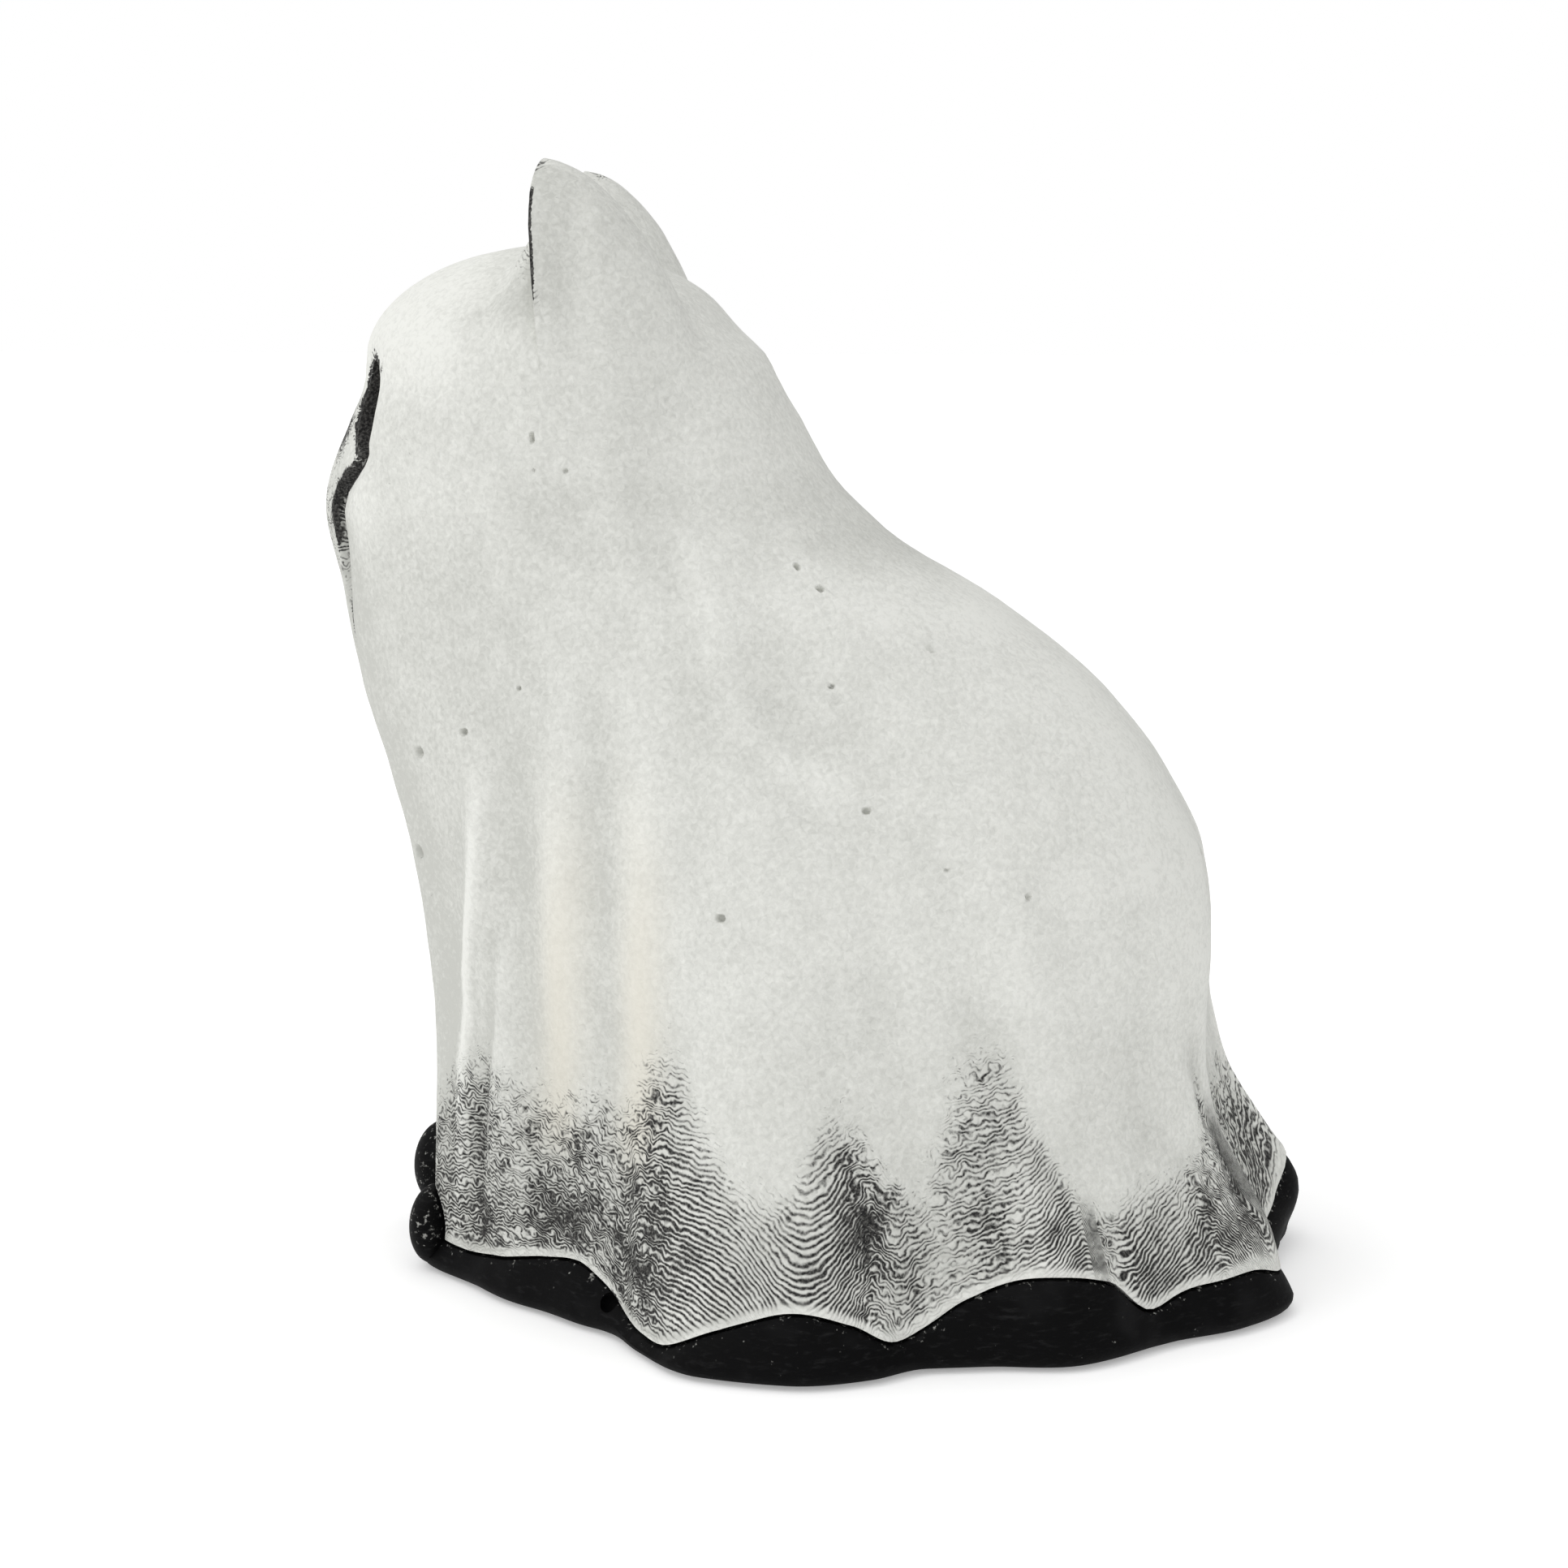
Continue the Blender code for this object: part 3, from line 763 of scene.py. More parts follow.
# Smudges in the wash: direction, height, half width in degrees, half height, strength.
SMUDGES = (
    (100.5, 9.4, 3.6, 3.4, 0.34), (98.5, 13.5, 4, 2.6, 0.16), (64, 14, 4, 4.5, 0.16),
    (62, 6, 5, 4, 0.2), (66, 9, 3, 3, 0.1), (24, 5.6, 5, 1.6, 0.26),
    (20, 14.5, 3, 2.5, 0.16), (27, 13.8, 3.5, 1.6, 0.16), (37, 6.6, 7, 2.2, 0.22),
    (46, 10.5, 4, 3, 0.14), (108, 8, 3.5, 2.4, 0.12), (120, 9.4, 5, 1.6, 0.12),
    (130, 9, 2, 1.6, 0.22), (143.5, 6, 2.8, 2.6, 0.3), (159.5, 7.2, 4.5, 2.4, 0.26),
    (165, 14.5, 2.2, 5, 0.3), (172, 10, 6, 4, 0.18), (-172, 9, 8, 4, 0.16),
    (-150, 8, 5, 4, 0.3), (-60, 9, 5, 5, 0.22), (-94, 9, 4, 3.6, 0.34),
    (-24, 6, 5, 2.6, 0.26), (-40, 7, 6, 2.6, 0.22), (-118, 10, 4, 4, 0.22),
    (-139, 6.5, 3, 2.8, 0.3), (4, 6, 6, 2.4, 0.2), (113, 6, 5, 6, -0.26),
    (123, 9, 6, 6, -0.16), (134, 9, 3, 5, 0.16), (105, 6, 3, 5, -0.12),
    (30, 6, 9, 7, -0.14), (36.5, 67.9, 1.6, 0.45, 0.9),
    (73, 9, 3, 6, 0.1), (84, 6, 4, 5, -0.1),
)
# Print lines: how far a line rises or falls (mm) as it runs round the hem.
LINES = ((
    (0, 2.4), (12, 3), (24, 3.8), (32, 3.4), (42, 1.8), (50, 0.2), (57, -1.6), (61, 0.6),
    (65, 0.6), (68, 0.3), (72, 0), (76.4, -0.5), (80.5, -1.5), (84.5, -3.2), (88, -4.7),
    (91, -5.2), (94, -4.7), (97.5, -3), (101.5, -0.8), (103.5, -1.6), (105.5, -2.4),
    (109.7, -1.3), (113, -0.6), (118, 0.1), (123, 0.9), (128.7, 2.7), (133.5, 5.2), (135.5, 5.6),
    (138.5, -2), (141.5, -2.4), (145.6, -1), (149.8, 0.5), (153.7, 2.2), (156.5, 3.4),
    (161.8, -1), (166, -4.5), (180, 0),
), (
    (0, 2.4), (12, 3.2), (28, 4), (44, 1.5), (58, -1), (62, 0.8), (74, 0.2), (84, -1.6),
    (92, -3.8), (98, -2.8), (104, -1), (108, -2.2), (120, 0.6), (132, 3.4), (137, 4.8),
    (141, -1.8), (150, 1), (156, 5), (161, 11), (170, 6), (180, 0),
))
# How speckled the wash is: 0 leaves clear print lines, 1 breaks them up completely.
SPECKLE = ((
    (0, 0.7), (16, 0.7), (26, 0.7), (36, 0.85), (48, 0.9), (60, 0.95), (65, 0.7), (70, 0.2),
    (76, 0.05), (92, 0.04), (97, 0.25), (100, 0.95), (104, 0.7), (108, 0.55), (114, 0.62),
    (124, 0.52), (131, 0.2), (135, 0.4), (138, 0.9), (142, 0.3), (147, 0.1), (154, 0.3),
    (158, 0.75), (164, 0.6), (168, 0.12), (174, 0.12), (180, 0.35),
), (
    (0, 0.7), (20, 0.6), (40, 0.75), (60, 0.95), (70, 0.3), (86, 0.1), (93, 0.8), (99, 0.3),
    (118, 0.35), (130, 0.2), (138, 0.9), (146, 0.2), (156, 0.6), (165, 0.4), (180, 0.45),
))


def relief_of(mesh, points, normals, rounds):
    """How far each point stands proud of its smoothed neighbourhood."""
    pairs = np.empty(len(mesh.edges) * 2, np.int64)
    mesh.edges.foreach_get("vertices", pairs)
    pairs = pairs.reshape(-1, 2)
    ends = np.concatenate([pairs[:, 0], pairs[:, 1]])
    others = np.concatenate([pairs[:, 1], pairs[:, 0]])
    count = np.maximum(np.bincount(ends, minlength=len(points)), 1)
    smooth = points.copy()
    for _ in range(rounds):
        sums = [np.bincount(ends, smooth[others, i], len(points)) / count for i in range(3)]
        smooth = 0.4 * smooth + 0.6 * np.stack(sums, axis=1)
    return ((points - smooth) * normals).sum(axis=1)


def wash_height(points):
    """Height where the black wash starts to show."""
    return around(direction_of(points), WASH)


def wash_cover(points):
    """Share of white paint left over the black wash, and how speckled it is."""
    direction = direction_of(points)
    height = points[:, 2]
    share = height / wash_height(points)
    cover = 0.50 + 0.15 * smoothstep(0.40, 0.85, share) + 0.62 * smoothstep(0.78, 1.22, share)
    speckle = around(direction, SPECKLE) + 0.35 * smoothstep(0.60, 1, share)
    for turn, middle, wide, tall, strength in SMUDGES:
        far = (angle_gap(direction, turn) / wide) ** 2 + ((height - middle) / tall) ** 2
        cover -= strength * np.exp(-far)
    return cover, np.clip(speckle, 0, 1)


def painted_light_and_shade_of(points, near, wide):
    """Painted light and shade: lighter on ridges and darker in hollows, a little darker down the front
    folds, shaded beside each ear, and highlights on the forehead, the nape and the sharp front ridge.
    """
    direction = np.abs(direction_of(points))
    body = 1 - smoothstep(56, 64, points[:, 2])
    # Painted highlight on the ridges and painted shade in the hollows, from the relief.
    tone = np.clip(near * 1.6, -0.20, 0.20) + np.clip(wide * 0.5, -0.35, 0.30)
    # Painted shade down the front, darkest on the front folds.
    tone -= 0.35 * (1 - smoothstep(14, 24, direction))
    tone -= 0.22 * (1 - smoothstep(40, 80, direction))
    height = points[:, 2]
    # Painted shade on the side of each ear, just behind its front edge.
    behind = points[:, 1] - LEFT_EAR_ROOT[1]
    ear = bell(np.clip(behind, 0, None) / 2.4) * smoothstep(70, 73, height)
    tone = tone * body - 0.30 * ear * (np.abs(points[:, 0]) > 12.0)
    # Painted highlight on the forehead, and painted light on the nape.
    forehead = smoothstep(64, 69, height) * smoothstep(-22, -28, points[:, 1])
    nape = smoothstep(46, 54, height) * smoothstep(-14, -8, points[:, 1])
    # Painted highlight along the sharp front ridge, low on the body.
    away, _ = path_distance(direction, height, RIDGES[0][0])
    ridge = bell(away / 0.50) * (1 - smoothstep(26, 38, height))
    return tone + 0.42 * forehead + 0.22 * nape + 0.60 * ridge


def warmth_of(points):
    """Cream tint on the two soft folds beside the sharp one."""
    direction = np.abs(direction_of(points))
    height = points[:, 2]
    low = smoothstep(10, 16, height) * (1 - smoothstep(24, 44, height))
    first = bell((direction - 44.0 - 0.5 * (height - 20)) / 5)
    second = bell((direction - 62.0 - 0.4 * (height - 20)) / 4.5)
    return low * np.maximum(first, second)


def crease_width(height):
    """Half width of the black line in the crease, thinner low down."""
    return 0.11 + 0.25 * smoothstep(51.5, 57, height)


def face_cover(points, cover):
    """Darker between the eyes, beside the creases and on the muzzle inside them."""
    away = crease_offset(points)
    height = points[:, 2]
    cover = cover - 0.34 * np.exp(-np.abs(away) / 0.8) * crease_fade(height, 42, 50)
    across = np.abs(points[:, 0])
    front = points[:, 1] < FACE_REAR
    # Darker over the dent between the eyes.
    brow = (across / 4.9) ** 6 + ((height - 63.7) / 3.0) ** 2
    muzzle = (across / 3.9) ** 4 + ((height - 55.8) / 4.4) ** 4
    cover = cover - 0.95 * front * np.exp(-brow)
    return cover - 0.50 * front * (away < 0.0) * np.exp(-muzzle)


def ear_front(points):
    """How far each point of an ear lies ahead of its sharp outer front edge, in millimetres."""
    ahead = np.full(len(points), -3.0)
    height = points[:, 2]
    edge = smooth_curve(height, *zip(*EAR_EDGE))
    tall = np.minimum(height - 72.4, 80.8 - height) * 0.5
    for side, root, _, _ in EARS:
        outer = points[:, 0] * side - edge + 0.9
        reach = root[1] - 0.66 - 0.28 * smoothstep(74.5, 79, height) - points[:, 1]
        strip = np.minimum(np.minimum(reach, 1.4 - reach), np.minimum(outer, tall))
        ahead = np.maximum(ahead, strip)
    return np.clip(ahead, -3, 3)


def ear_cover(points, cover):
    """A dark chip at the foot of each ear edge and on the left tip, and painted shade in the hollow in
    front.
    """
    for side, root, _, _ in EARS:
        out = points[:, 0] * side
        ahead = root[1] - 0.75 - points[:, 1]
        spot = (out - 15.7) ** 2 + (points[:, 1] - root[1] + 0.8) ** 2 + (points[:, 2] - 73.2) ** 2
        tip = (points[:, 1] - root[1] + 1.2) ** 2 / 1.4 + (points[:, 2] - 82.2) ** 2 / 0.4
        # Painted shade in the hollow in front of each ear.
        inner = smoothstep(0.2, 1, ahead) * (1 - smoothstep(2, 3.4, ahead))
        inner = inner * smoothstep(73.5, 75, points[:, 2]) * (out > 7) * (out < 14)
        cover = cover - 0.7 * np.exp(-spot / 0.22)
        cover = cover - 0.40 * inner - 0.55 * (side > 0) * np.exp(-tip)
    return cover


def pit_cover(points, pits, cover):
    """Black in the bottom of each pit and of the bubble hole."""
    for place, (_, _, wide, tall) in zip(pits, PITS):
        distance = pit_distance(points, place, wide, tall)
        cover -= 1.30 * (1 - smoothstep(0.50, 1.05, distance))
    bubble = np.sqrt(((points - np.array(HEM_BUBBLE[0])) ** 2).sum(axis=1))
    return cover - 1.2 * (1 - smoothstep(0.84, 0.97, bubble))


def print_lines(points):
    """Height along the print lines, which dip and rise round the hem and widen at the rear."""
    direction = direction_of(points)
    height = points[:, 2]
    lines = height - around(direction, LINES) * np.clip(1.25 - 0.045 * height, 0.35, 1.2)
    left = smoothstep(167, 173, direction)
    right = 1 - smoothstep(-156, -150, direction)
    return lines * (1 - 0.62 * np.maximum(left, right))


def paint_sheet(mesh, pits):
    """Stores paint cover, speckle, print-line height, relief, and painted light and shade, for the
    material.
    """
    points = points_of(mesh)
    normals = normals_of(mesh)
    height = points[:, 2]
    cover, speckle = wash_cover(points)
    near = relief_of(mesh, points, normals, 10)
    wide = relief_of(mesh, points, normals, 90)
    cover += np.clip(near * 0.8, -0.12, 0.12) * (height < 24)
    cover = ear_cover(points, face_cover(points, cover))
    cover = np.where(is_outer(points), cover, 0.2)
    set_attributes(
        mesh,
        cover=pit_cover(points, pits, cover),
        ear_front=ear_front(points),
        eye_gap=np.clip(eye_distance(points), -2, 6),
        crease=crease_offset(points) / crease_width(height),
        crease_share=crease_fade(height, 47.8, 50.8),
        rim=hem_distance(points) / rim_width(points),
        low=1 - smoothstep(0.7, 1.15, height / wash_height(points)),
        speckle=speckle,
        lines=print_lines(points),
        # Painted light and shade for the white paint.
        tone=painted_light_and_shade_of(points, near, wide),
        warmth=warmth_of(points),
    )


# ---------------------------------------------------------------- plinth and paws
def plinth_ring(degrees, outset, height):
    """One ring of the plinth's side, which follows the lobes of the hem."""
    base = body_ring(degrees, 0.0, -outset)
    base[:, 2] = height
    return base


def seat_ring(degrees, inset, centre_share):
    """One ring of the plinth's top, between the hem and the level middle."""
    base = body_ring(degrees, 0.0, inset)
    top = around(degrees, HEM) - HEM_GAP
    base[:, 2] = top + (PLINTH_CENTRE_TOP - top) * centre_share
    return base


def worn_share(points):
    """Where white paint has rubbed onto the black: just under the hem, and on the paws."""
    gap = hem_distance(points)
    near_hem = smoothstep(-1.3, -0.3, gap) * 0.50
    paws = smoothstep(-29.5, -31, points[:, 1]) * smoothstep(0.8, 2.4, points[:, 2])
    return np.maximum(near_hem, paws * 0.55)


def plinth_rings(degrees):
    """The rings from under the plinth's middle, up its side and in over its top."""
    hem = around(degrees, HEM) - HEM_GAP
    flare = PLINTH_PROUD + PLINTH_FLARE * hem
    tucked = bell((degrees + 163) / 11)
    flare *= 1 - 0.85 * tucked
    lip = np.minimum(PLINTH_EDGE, hem * 0.5)
    rings = [plinth_ring(degrees, -9.0, 0.0), plinth_ring(degrees, -3.0, 0.0)]
    for turn in np.linspace(0.0, math.pi / 2, 8):
        outset = flare - PLINTH_EDGE * (1 - math.sin(turn))
        rings.append(plinth_ring(degrees, outset, lip * (1 - math.cos(turn))))
    for share in np.linspace(0.0, 1.0, 10)[1:]:
        bulge = flare * (1 - share) ** 0.75 + 1.0 * tucked * math.sin(math.pi * share**1.3)
        rings.append(plinth_ring(degrees, bulge, lip + (hem - lip) * share))
    rings.append(seat_ring(degrees, SEAT_RIM, 0.0))
    rings.append(seat_ring(degrees, SEAT_STEP, 0.5))
    return rings


def build_plinth():
    under = np.array([[0.0, 0.0, 0.0]])
    top = np.array([[0.0, 0.0, PLINTH_CENTRE_TOP]])
    plinth = loft("base_with_paws", plinth_rings(directions()), under, top)
    paws = [ellipsoid("left_paw", *LEFT_PAW), ellipsoid("right_paw", *RIGHT_PAW)]
    boolean(plinth, paws, "UNION")
    boolean(plinth, [ellipsoid("hem_bubble", *HEM_BUBBLE)], "DIFFERENCE")
    keep_in_box(plinth)
    set_attributes(plinth.data, worn=worn_share(points_of(plinth.data)))
    plinth.data.set_sharp_from_angle(angle=math.radians(40))
    return plinth


# ---------------------------------------------------------------- materials
class Graph:
    """Small helpers that keep the node code short."""

    def __init__(self, owner):
        owner.use_nodes = True
        self.tree = owner.node_tree
        self.tree.nodes.clear()

    def put(self, socket, value):
        if hasattr(value, "is_linked"):
            self.tree.links.new(value, socket)
        else:
            socket.default_value = value

    def node(self, kind, inputs, **settings):
        """A new node with its settings, and a value or a link for each named input."""
        node = self.tree.nodes.new(kind)
        for name, value in settings.items():
            setattr(node, name, value)
        for key, value in inputs.items():
            self.put(node.inputs[key], value)
        return node

    def math(self, operation, *values, **settings):
        inputs = dict(enumerate(values))
        return self.node("ShaderNodeMath", inputs, operation=operation, **settings).outputs[0]

    def add(self, total, *others):
        for other in others:
            total = self.math("ADD", total, other)
        return total

    def times(self, a, b):
        return self.math("MULTIPLY", a, b)

    def times_add(self, a, b, c, **settings):
        return self.math("MULTIPLY_ADD", a, b, c, **settings)

    def attribute(self, name):
        return self.node("ShaderNodeAttribute", {}, attribute_name=name).outputs["Fac"]

    def vector(self, operation, inputs):
        return self.node("ShaderNodeVectorMath", inputs, operation=operation).outputs

    def coordinates(self, kind):
        return self.node("ShaderNodeTexCoord", {}).outputs[kind]

    def position(self):
        """Object coordinates in millimetres."""
        return self.vector("SCALE", {0: self.coordinates("Object"), "Scale": 1.0 / MM})[0]

    def noise(self, vector, scale, detail=2.0, roughness=0.5, distortion=0.0):
        inputs = {"Vector": vector, "Scale": scale, "Detail": detail, "Roughness": roughness}
        inputs["Distortion"] = distortion
        return self.node("ShaderNodeTexNoise", inputs).outputs["Fac"]

    def step(self, value, low, high):
        """Smooth rise from 0 at low to 1 at high."""
        inputs = {"Value": value, "From Min": low, "From Max": high}
        return self.node("ShaderNodeMapRange", inputs, interpolation_type="SMOOTHSTEP").outputs[0]

    def bell(self, value):
        """One where the value is 0, falling smoothly away on both sides."""
        return self.math("EXPONENT", self.times(self.times(value, value), -1.0))

    def swing(self, value, size):
        """Turns a value from 0 to 1 into one from minus half to plus half of the size."""
        return self.times(self.math("SUBTRACT", value, 0.5), size)

    def mix(self, share, a, b):
        return self.node("ShaderNodeMix", {0: share, 6: a, 7: b}, data_type="RGBA").outputs[2]

    def bump(self, height, strength, distance, below=None):
        inputs = {"Strength": strength, "Distance": distance * MM, "Height": height}
        if below is not None:
            inputs["Normal"] = below
        return self.node("ShaderNodeBump", inputs).outputs["Normal"]

    def coat(self, colour, roughness, gloss, normal=None):
        """The finished surface, given to the material."""
        inputs = {"Base Color": colour, "Roughness": roughness, "Specular IOR Level": gloss}
        if normal is not None:
            inputs["Normal"] = normal
        shader = self.node("ShaderNodeBsdfPrincipled", inputs)
        self.node("ShaderNodeOutputMaterial", {0: shader.outputs[0]})
        return shader


def grey(level):
    return (level, level, level, 1.0)


LINE_PITCH = 0.40
# The white paint runs from the dark to the light colour with its mottle and with its painted light and
# shade.
DARK_PAINT_AND_SHADE = (0.545, 0.550, 0.515, 1.0)
LIGHT_PAINT_AND_HIGHLIGHT = (0.790, 0.795, 0.755, 1.0)
SHADE_WARM = (0.720, 0.685, 0.590, 1.0)
UNDERCOAT = (0.014, 0.014, 0.014, 1.0)
RUBBED_UNDERCOAT = (0.110, 0.108, 0.102, 1.0)
CAT_BLACK = (0.008, 0.008, 0.008, 1.0)
# Partly worn paint and partly painted light, on the cat high behind the eyes.
CAT_WORN_AND_PAINTED_LIGHT = (0.44, 0.40, 0.37, 1.0)
BASE_BLACK = (0.0020, 0.0020, 0.0022, 1.0)
BASE_STREAK = (0.014, 0.014, 0.0145, 1.0)
# Painted sheen on the black base.
BASE_SHEEN = (0.009, 0.009, 0.0095, 1.0)
BASE_SPECK = (0.10, 0.10, 0.095, 1.0)
BASE_RUBBED = (0.32, 0.32, 0.30, 1.0)


def print_wave(g, place, speckle):
    """The copied print lines as a wave from -1 to 1, twisted into worms where it is speckled."""
    twist = g.times(g.swing(g.noise(place, 0.95, 1.5, 0.5), 2.5), speckle)
    waves = g.swing(g.noise(place, 0.45, 2.0), 0.80)
    ripples = g.swing(g.noise(place, 1.6, 1.0), 0.22)
    layer = g.add(g.attribute("lines"), waves, ripples, twist)
    return g.math("SINE", g.times(layer, 2 * math.pi / LINE_PITCH))


def worn_edges(g, total, worm, grit):
    """Black at the eyes, creases and ear edges, white along the rubbed rim of the hem."""
    ragged = g.add(g.swing(worm, 1.0), g.swing(grit, 0.6))
    eye = g.times_add(ragged, 0.5, g.attribute("eye_gap"))
    eye = g.math("SUBTRACT", 1, g.step(eye, 0.02, 0.50))
    crease = g.bell(g.times_add(ragged, 0.18, g.attribute("crease")))
    crease = g.times(crease, g.attribute("crease_share"))
    ear = g.step(g.times_add(ragged, 0.35, g.attribute("ear_front")), 0.10, 0.24)
    rim = g.times_add(ragged, 2.4, g.attribute("rim"))
    rim = g.math("SUBTRACT", 1, g.step(rim, 0.3, 2))
    for edge, change in ((eye, -1.0), (crease, -2.2), (ear, -1.8), (rim, 0.40)):
        total = g.times_add(edge, change, total)
    return total


def wash_total(g, wave, speckle, worm, grit, patch):
    """How much white paint lies on each spot; black shows through where it is low."""
    line_share = g.times(g.times_add(speckle, -0.06, 0.30), g.times_add(patch, 1.6, 0.2))
    worm_share = g.times_add(speckle, 0.75, 0.60)
    clump_share = g.times_add(speckle, 0.50, 0.45)
    lines = g.times(wave, line_share)
    worms = g.times(g.swing(worm, 1.0), worm_share)
    clumps = g.times(g.swing(patch, 1.0), clump_share)
    return g.add(g.attribute("cover"), lines, worms, g.swing(grit, 0.24), clumps)


def paint_colour(g, grain, blotch, low):
    """The white paint: mottled, with painted light and shade, greyer low down and creamy on the two soft
    folds.
    """
    # The tone attribute brings in the painted light and shade.
    tone = g.add(g.swing(grain, 1.5), g.swing(blotch, 0.34), 0.50, g.attribute("tone"))
    tone = g.times_add(low, -0.15, tone, use_clamp=True)
    paint = g.mix(tone, DARK_PAINT_AND_SHADE, LIGHT_PAINT_AND_HIGHLIGHT)
    return g.mix(g.times(g.attribute("warmth"), 0.60), paint, SHADE_WARM)


def sheet_material():
    """White dry-brushed over black: black stays in the print grooves and the low folds."""
    material = bpy.data.materials.new("white_dry_brushed_plaster")
    g = Graph(material)
    place = g.position()
    speckle = g.attribute("speckle")
    wave = print_wave(g, place, speckle)
    worm = g.noise(place, 1.35, 3.0, 0.62, 1.1)
    grit = g.noise(place, 5.0, 2.0, 0.6)
    patch = g.noise(place, 0.42, 2.0, 0.55)
    grain = g.noise(place, 2.4, 3.0, 0.6, 0.6)
    blotch = g.noise(place, 0.30, 2.0, 0.5)
    low = g.attribute("low")
    total = worn_edges(g, wash_total(g, wave, speckle, worm, grit, patch), worm, grit)
    white = g.step(total, 0.24, 0.80)
    under = g.mix(g.step(grit, 0.35, 0.75), UNDERCOAT, RUBBED_UNDERCOAT)
    colour = g.mix(white, under, paint_colour(g, grain, blotch, low))
    surface = g.bump(g.times(wave, low), 0.60, 0.06, g.bump(grain, 0.45, 0.12))
    g.coat(colour, g.times_add(grit, 0.2, 0.68), 0.12, g.bump(white, 0.35, 0.08, surface))
    return material


def cat_material():
    """The painted cat inside: black, a little paler and browner high behind the eyes, partly worn paint
    and partly painted light.
    """
    material = bpy.data.materials.new("black_cat_paint")
    g = Graph(material)
    place = g.position()
    mottle = g.noise(place, 0.9, 3.0, 0.55)
    height = g.node("ShaderNodeSeparateXYZ", {0: place}).outputs[2]
    # Painted light: paler and browner higher up, where the floor of each eye socket shows.
    high = g.step(g.add(height, g.swing(mottle, 3)), 60.5, 66)
    colour = g.mix(g.times(high, g.step(mottle, 0.1, 0.6)), CAT_BLACK, CAT_WORN_AND_PAINTED_LIGHT)
    g.coat(colour, g.times_add(mottle, 0.3, 0.55), 0.08, g.bump(mottle, 0.3, 0.12))
    return material


def base_material():
    """Matt black paint with faint grey brush streaks, broad patches of painted sheen, and white specks
    where it is rubbed.
    """
    material = bpy.data.materials.new("black_base_paint")
    g = Graph(material)
    place = g.position()
    brushed = g.vector("MULTIPLY", {0: place, 1: (1.0, 1.0, 4.0)})[0]
    streaks = g.noise(brushed, 0.8, 4.0, 0.62, 0.3)
    grit = g.noise(place, 3.0, 3.0, 0.6)
    sheen = g.noise(place, 0.22, 2.0, 0.5)
    colour = g.mix(g.step(streaks, 0.50, 0.80), BASE_BLACK, BASE_STREAK)
    # Broad patches of painted sheen, a little lighter than the black.
    colour = g.mix(g.step(sheen, 0.50, 0.80), colour, BASE_SHEEN)
    specks = g.times(g.step(grit, 0.70, 0.78), g.step(g.noise(place, 0.4), 0.45, 0.7))
    colour = g.mix(specks, colour, BASE_SPECK)
    rubbed = g.times_add(g.attribute("worn"), 0.30, g.swing(grit, 1.0))
    rubbed = g.add(rubbed, g.swing(g.noise(place, 1.2, 2.0), 0.6))
    colour = g.mix(g.step(rubbed, 0.26, 0.42), colour, BASE_RUBBED)
    surface = g.bump(streaks, 0.35, 0.12, g.bump(grit, 0.25, 0.08))
    g.coat(colour, g.times_add(streaks, 0.3, 0.50), 0.07, surface)
    return material


# ---------------------------------------------------------------- stage, lights, camera
FLOOR_HALF = 3.0
FLOOR_DROP = 0.0002  # keeps the floor just clear of the base


def make_stage():
    corners = ((-1, -1), (1, -1), (1, 1), (-1, 1))
    mesh = bpy.data.meshes.new("floor")
    places = [(x * FLOOR_HALF, y * FLOOR_HALF, -FLOOR_DROP) for x, y in corners]
    mesh.from_pydata(places, [], [(0, 1, 2, 3)])
    floor = add_object("floor", mesh)
    material = bpy.data.materials.new("pale_floor")
    shader = Graph(material).coat(grey(0.85), 0.9, 0.0)
    shader.inputs["Emission Color"].default_value = grey(1.0)
    shader.inputs["Emission Strength"].default_value = 0.30
    mesh.materials.append(material)


def area_light(name, location, target, size, power):
    light = bpy.data.lights.new(name, "AREA")
    light.shape = "DISK"
    light.size = size
    light.energy = power
    lamp = add_object(name, light)
    lamp.location = location
    aim = Vector(target) - Vector(location)
    lamp.rotation_euler = aim.to_track_quat("-Z", "Y").to_euler()


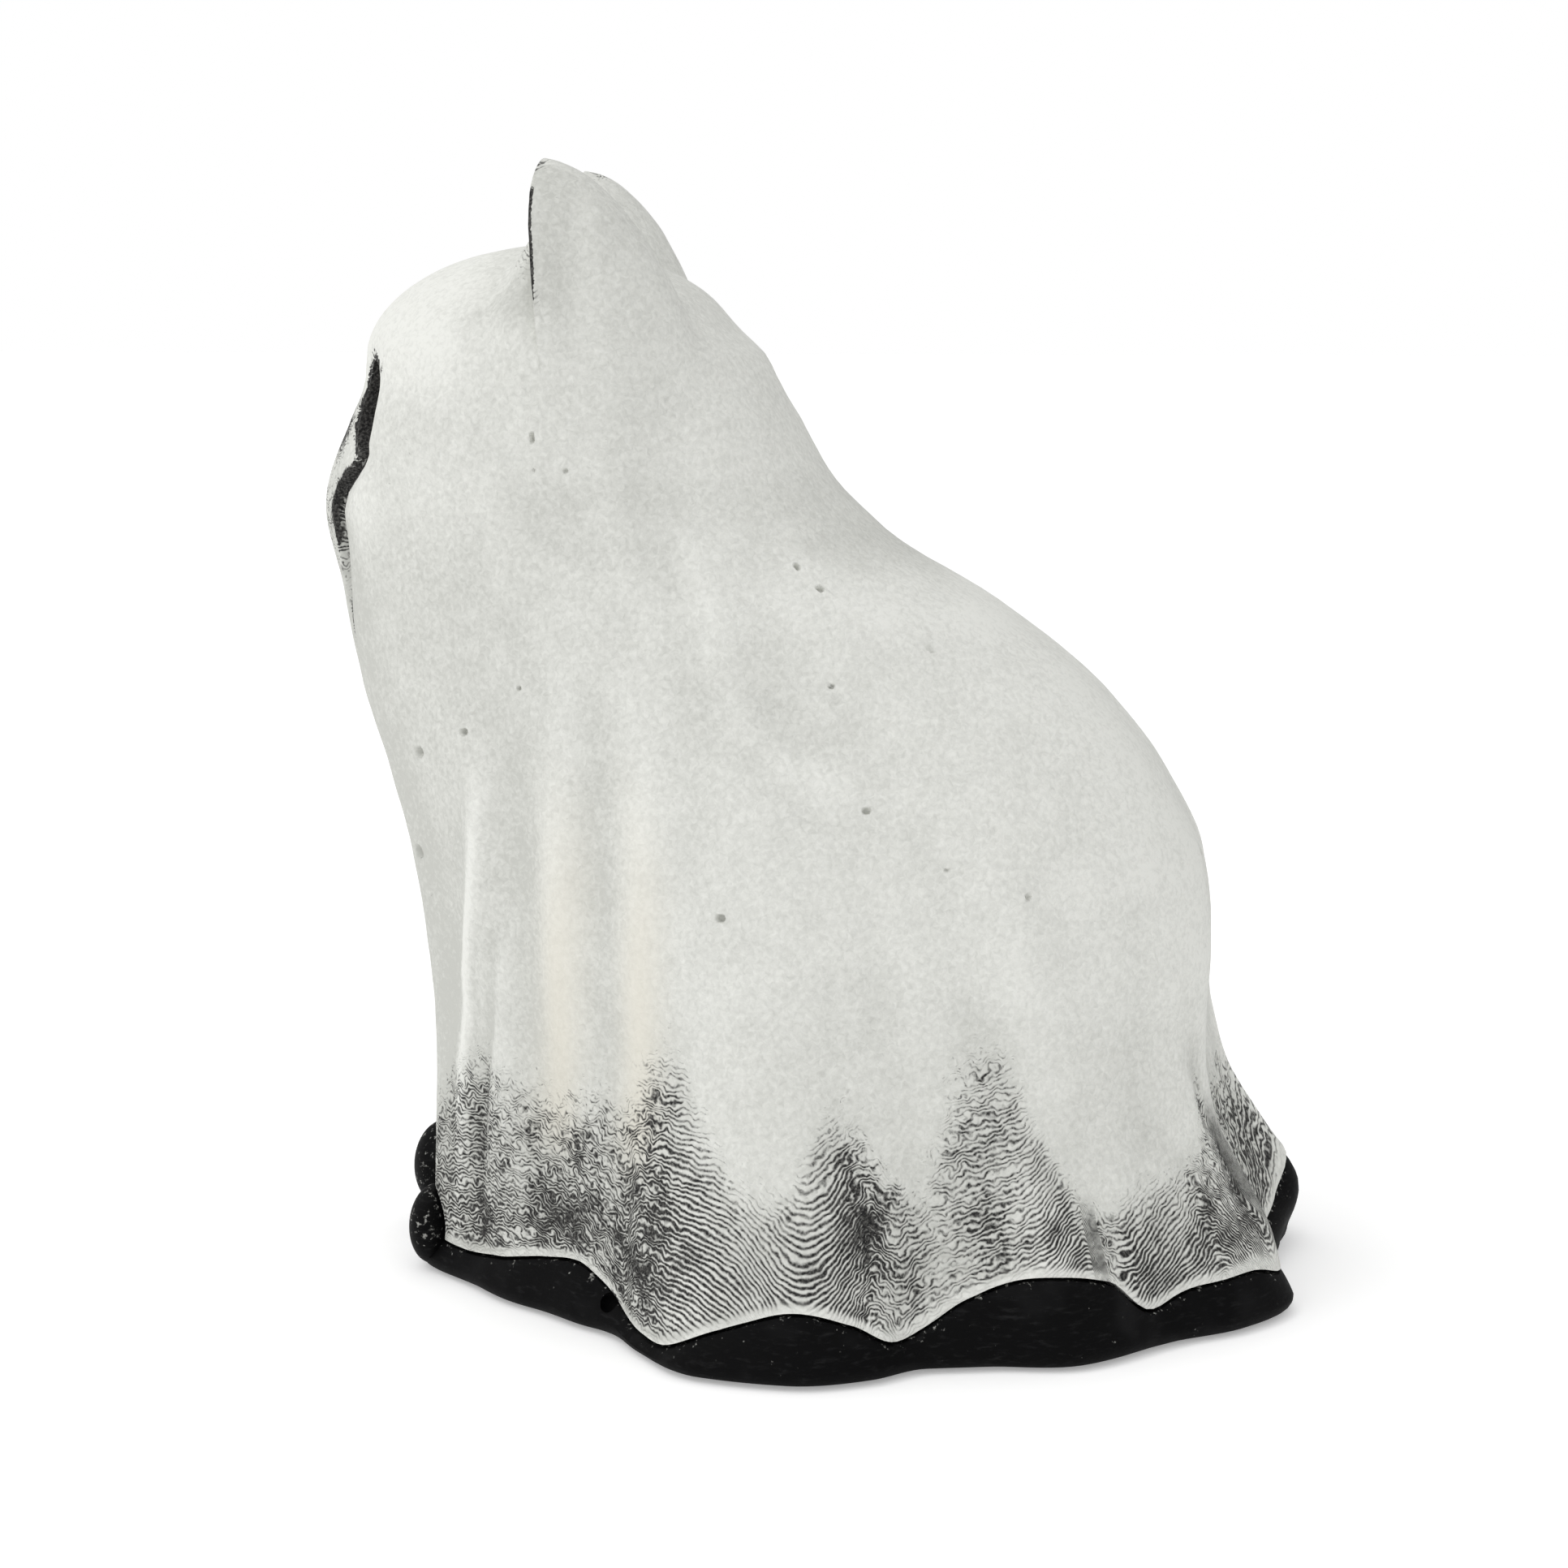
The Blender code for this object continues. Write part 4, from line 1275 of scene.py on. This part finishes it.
SKY_BASE = 0.36
SKY_GLOW = 0.93
SKY_FROM = (0.24, -0.32, 0.91)


def make_world():
    """A white studio: plain white behind, and a soft broad glow from above the front."""
    world = bpy.data.worlds.new("soft_studio")
    bpy.context.scene.world = world
    g = Graph(world)
    glow_from = Vector(SKY_FROM).normalized()
    facing = g.vector("DOT_PRODUCT", {0: g.coordinates("Generated"), 1: glow_from})["Value"]
    glow = g.times_add(g.math("MAXIMUM", facing, 0.0), SKY_GLOW, SKY_BASE)
    lit = g.node("ShaderNodeBackground", {"Color": grey(1.0), "Strength": glow}).outputs[0]
    seen = g.node("ShaderNodeBackground", {"Color": grey(1.0)}).outputs[0]
    seen_share = g.node("ShaderNodeLightPath", {}).outputs["Is Camera Ray"]
    either = g.node("ShaderNodeMixShader", {0: seen_share, 1: lit, 2: seen}).outputs[0]
    g.node("ShaderNodeOutputWorld", {0: either})


def make_lights():
    make_world()
    area_light("key", location=(0.26, -0.40, 0.74), target=(0.0, 0.0, 0.04), size=0.30, power=0.7)
    bpy.context.scene.view_settings.view_transform = "Standard"


CAMERA_PLACE = Vector((0.2246, 0.0269, 0.0740))
CAMERA_PITCH = 9.3
CAMERA_YAW = 8.0
CAMERA_LENS = 70.16


def make_camera():
    camera = bpy.data.cameras.new("camera")
    camera.sensor_width = 36.0
    camera.lens = CAMERA_LENS
    camera.clip_start = 0.005
    camera.clip_end = 20.0
    body = add_object("camera", camera)
    turn = Euler((math.radians(90 - CAMERA_PITCH), 0.0, math.radians(90 + CAMERA_YAW)))
    body.matrix_world = Matrix.LocRotScale(CAMERA_PLACE, turn, None)
    bpy.context.scene.camera = body


def main():
    sheet = build_sheet()
    sheet.name = "draped_sheet"
    sheet.data.materials.append(sheet_material())
    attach(sheet, "root")
    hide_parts("ghost_sheet")
    plinth = build_plinth()
    plinth.data.materials.append(base_material())
    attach(plinth, "root")
    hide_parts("plinth")
    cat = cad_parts["cat_body"]
    cat.material_slots[0].material = cat_material()
    make_stage()
    make_lights()
    make_camera()


main()
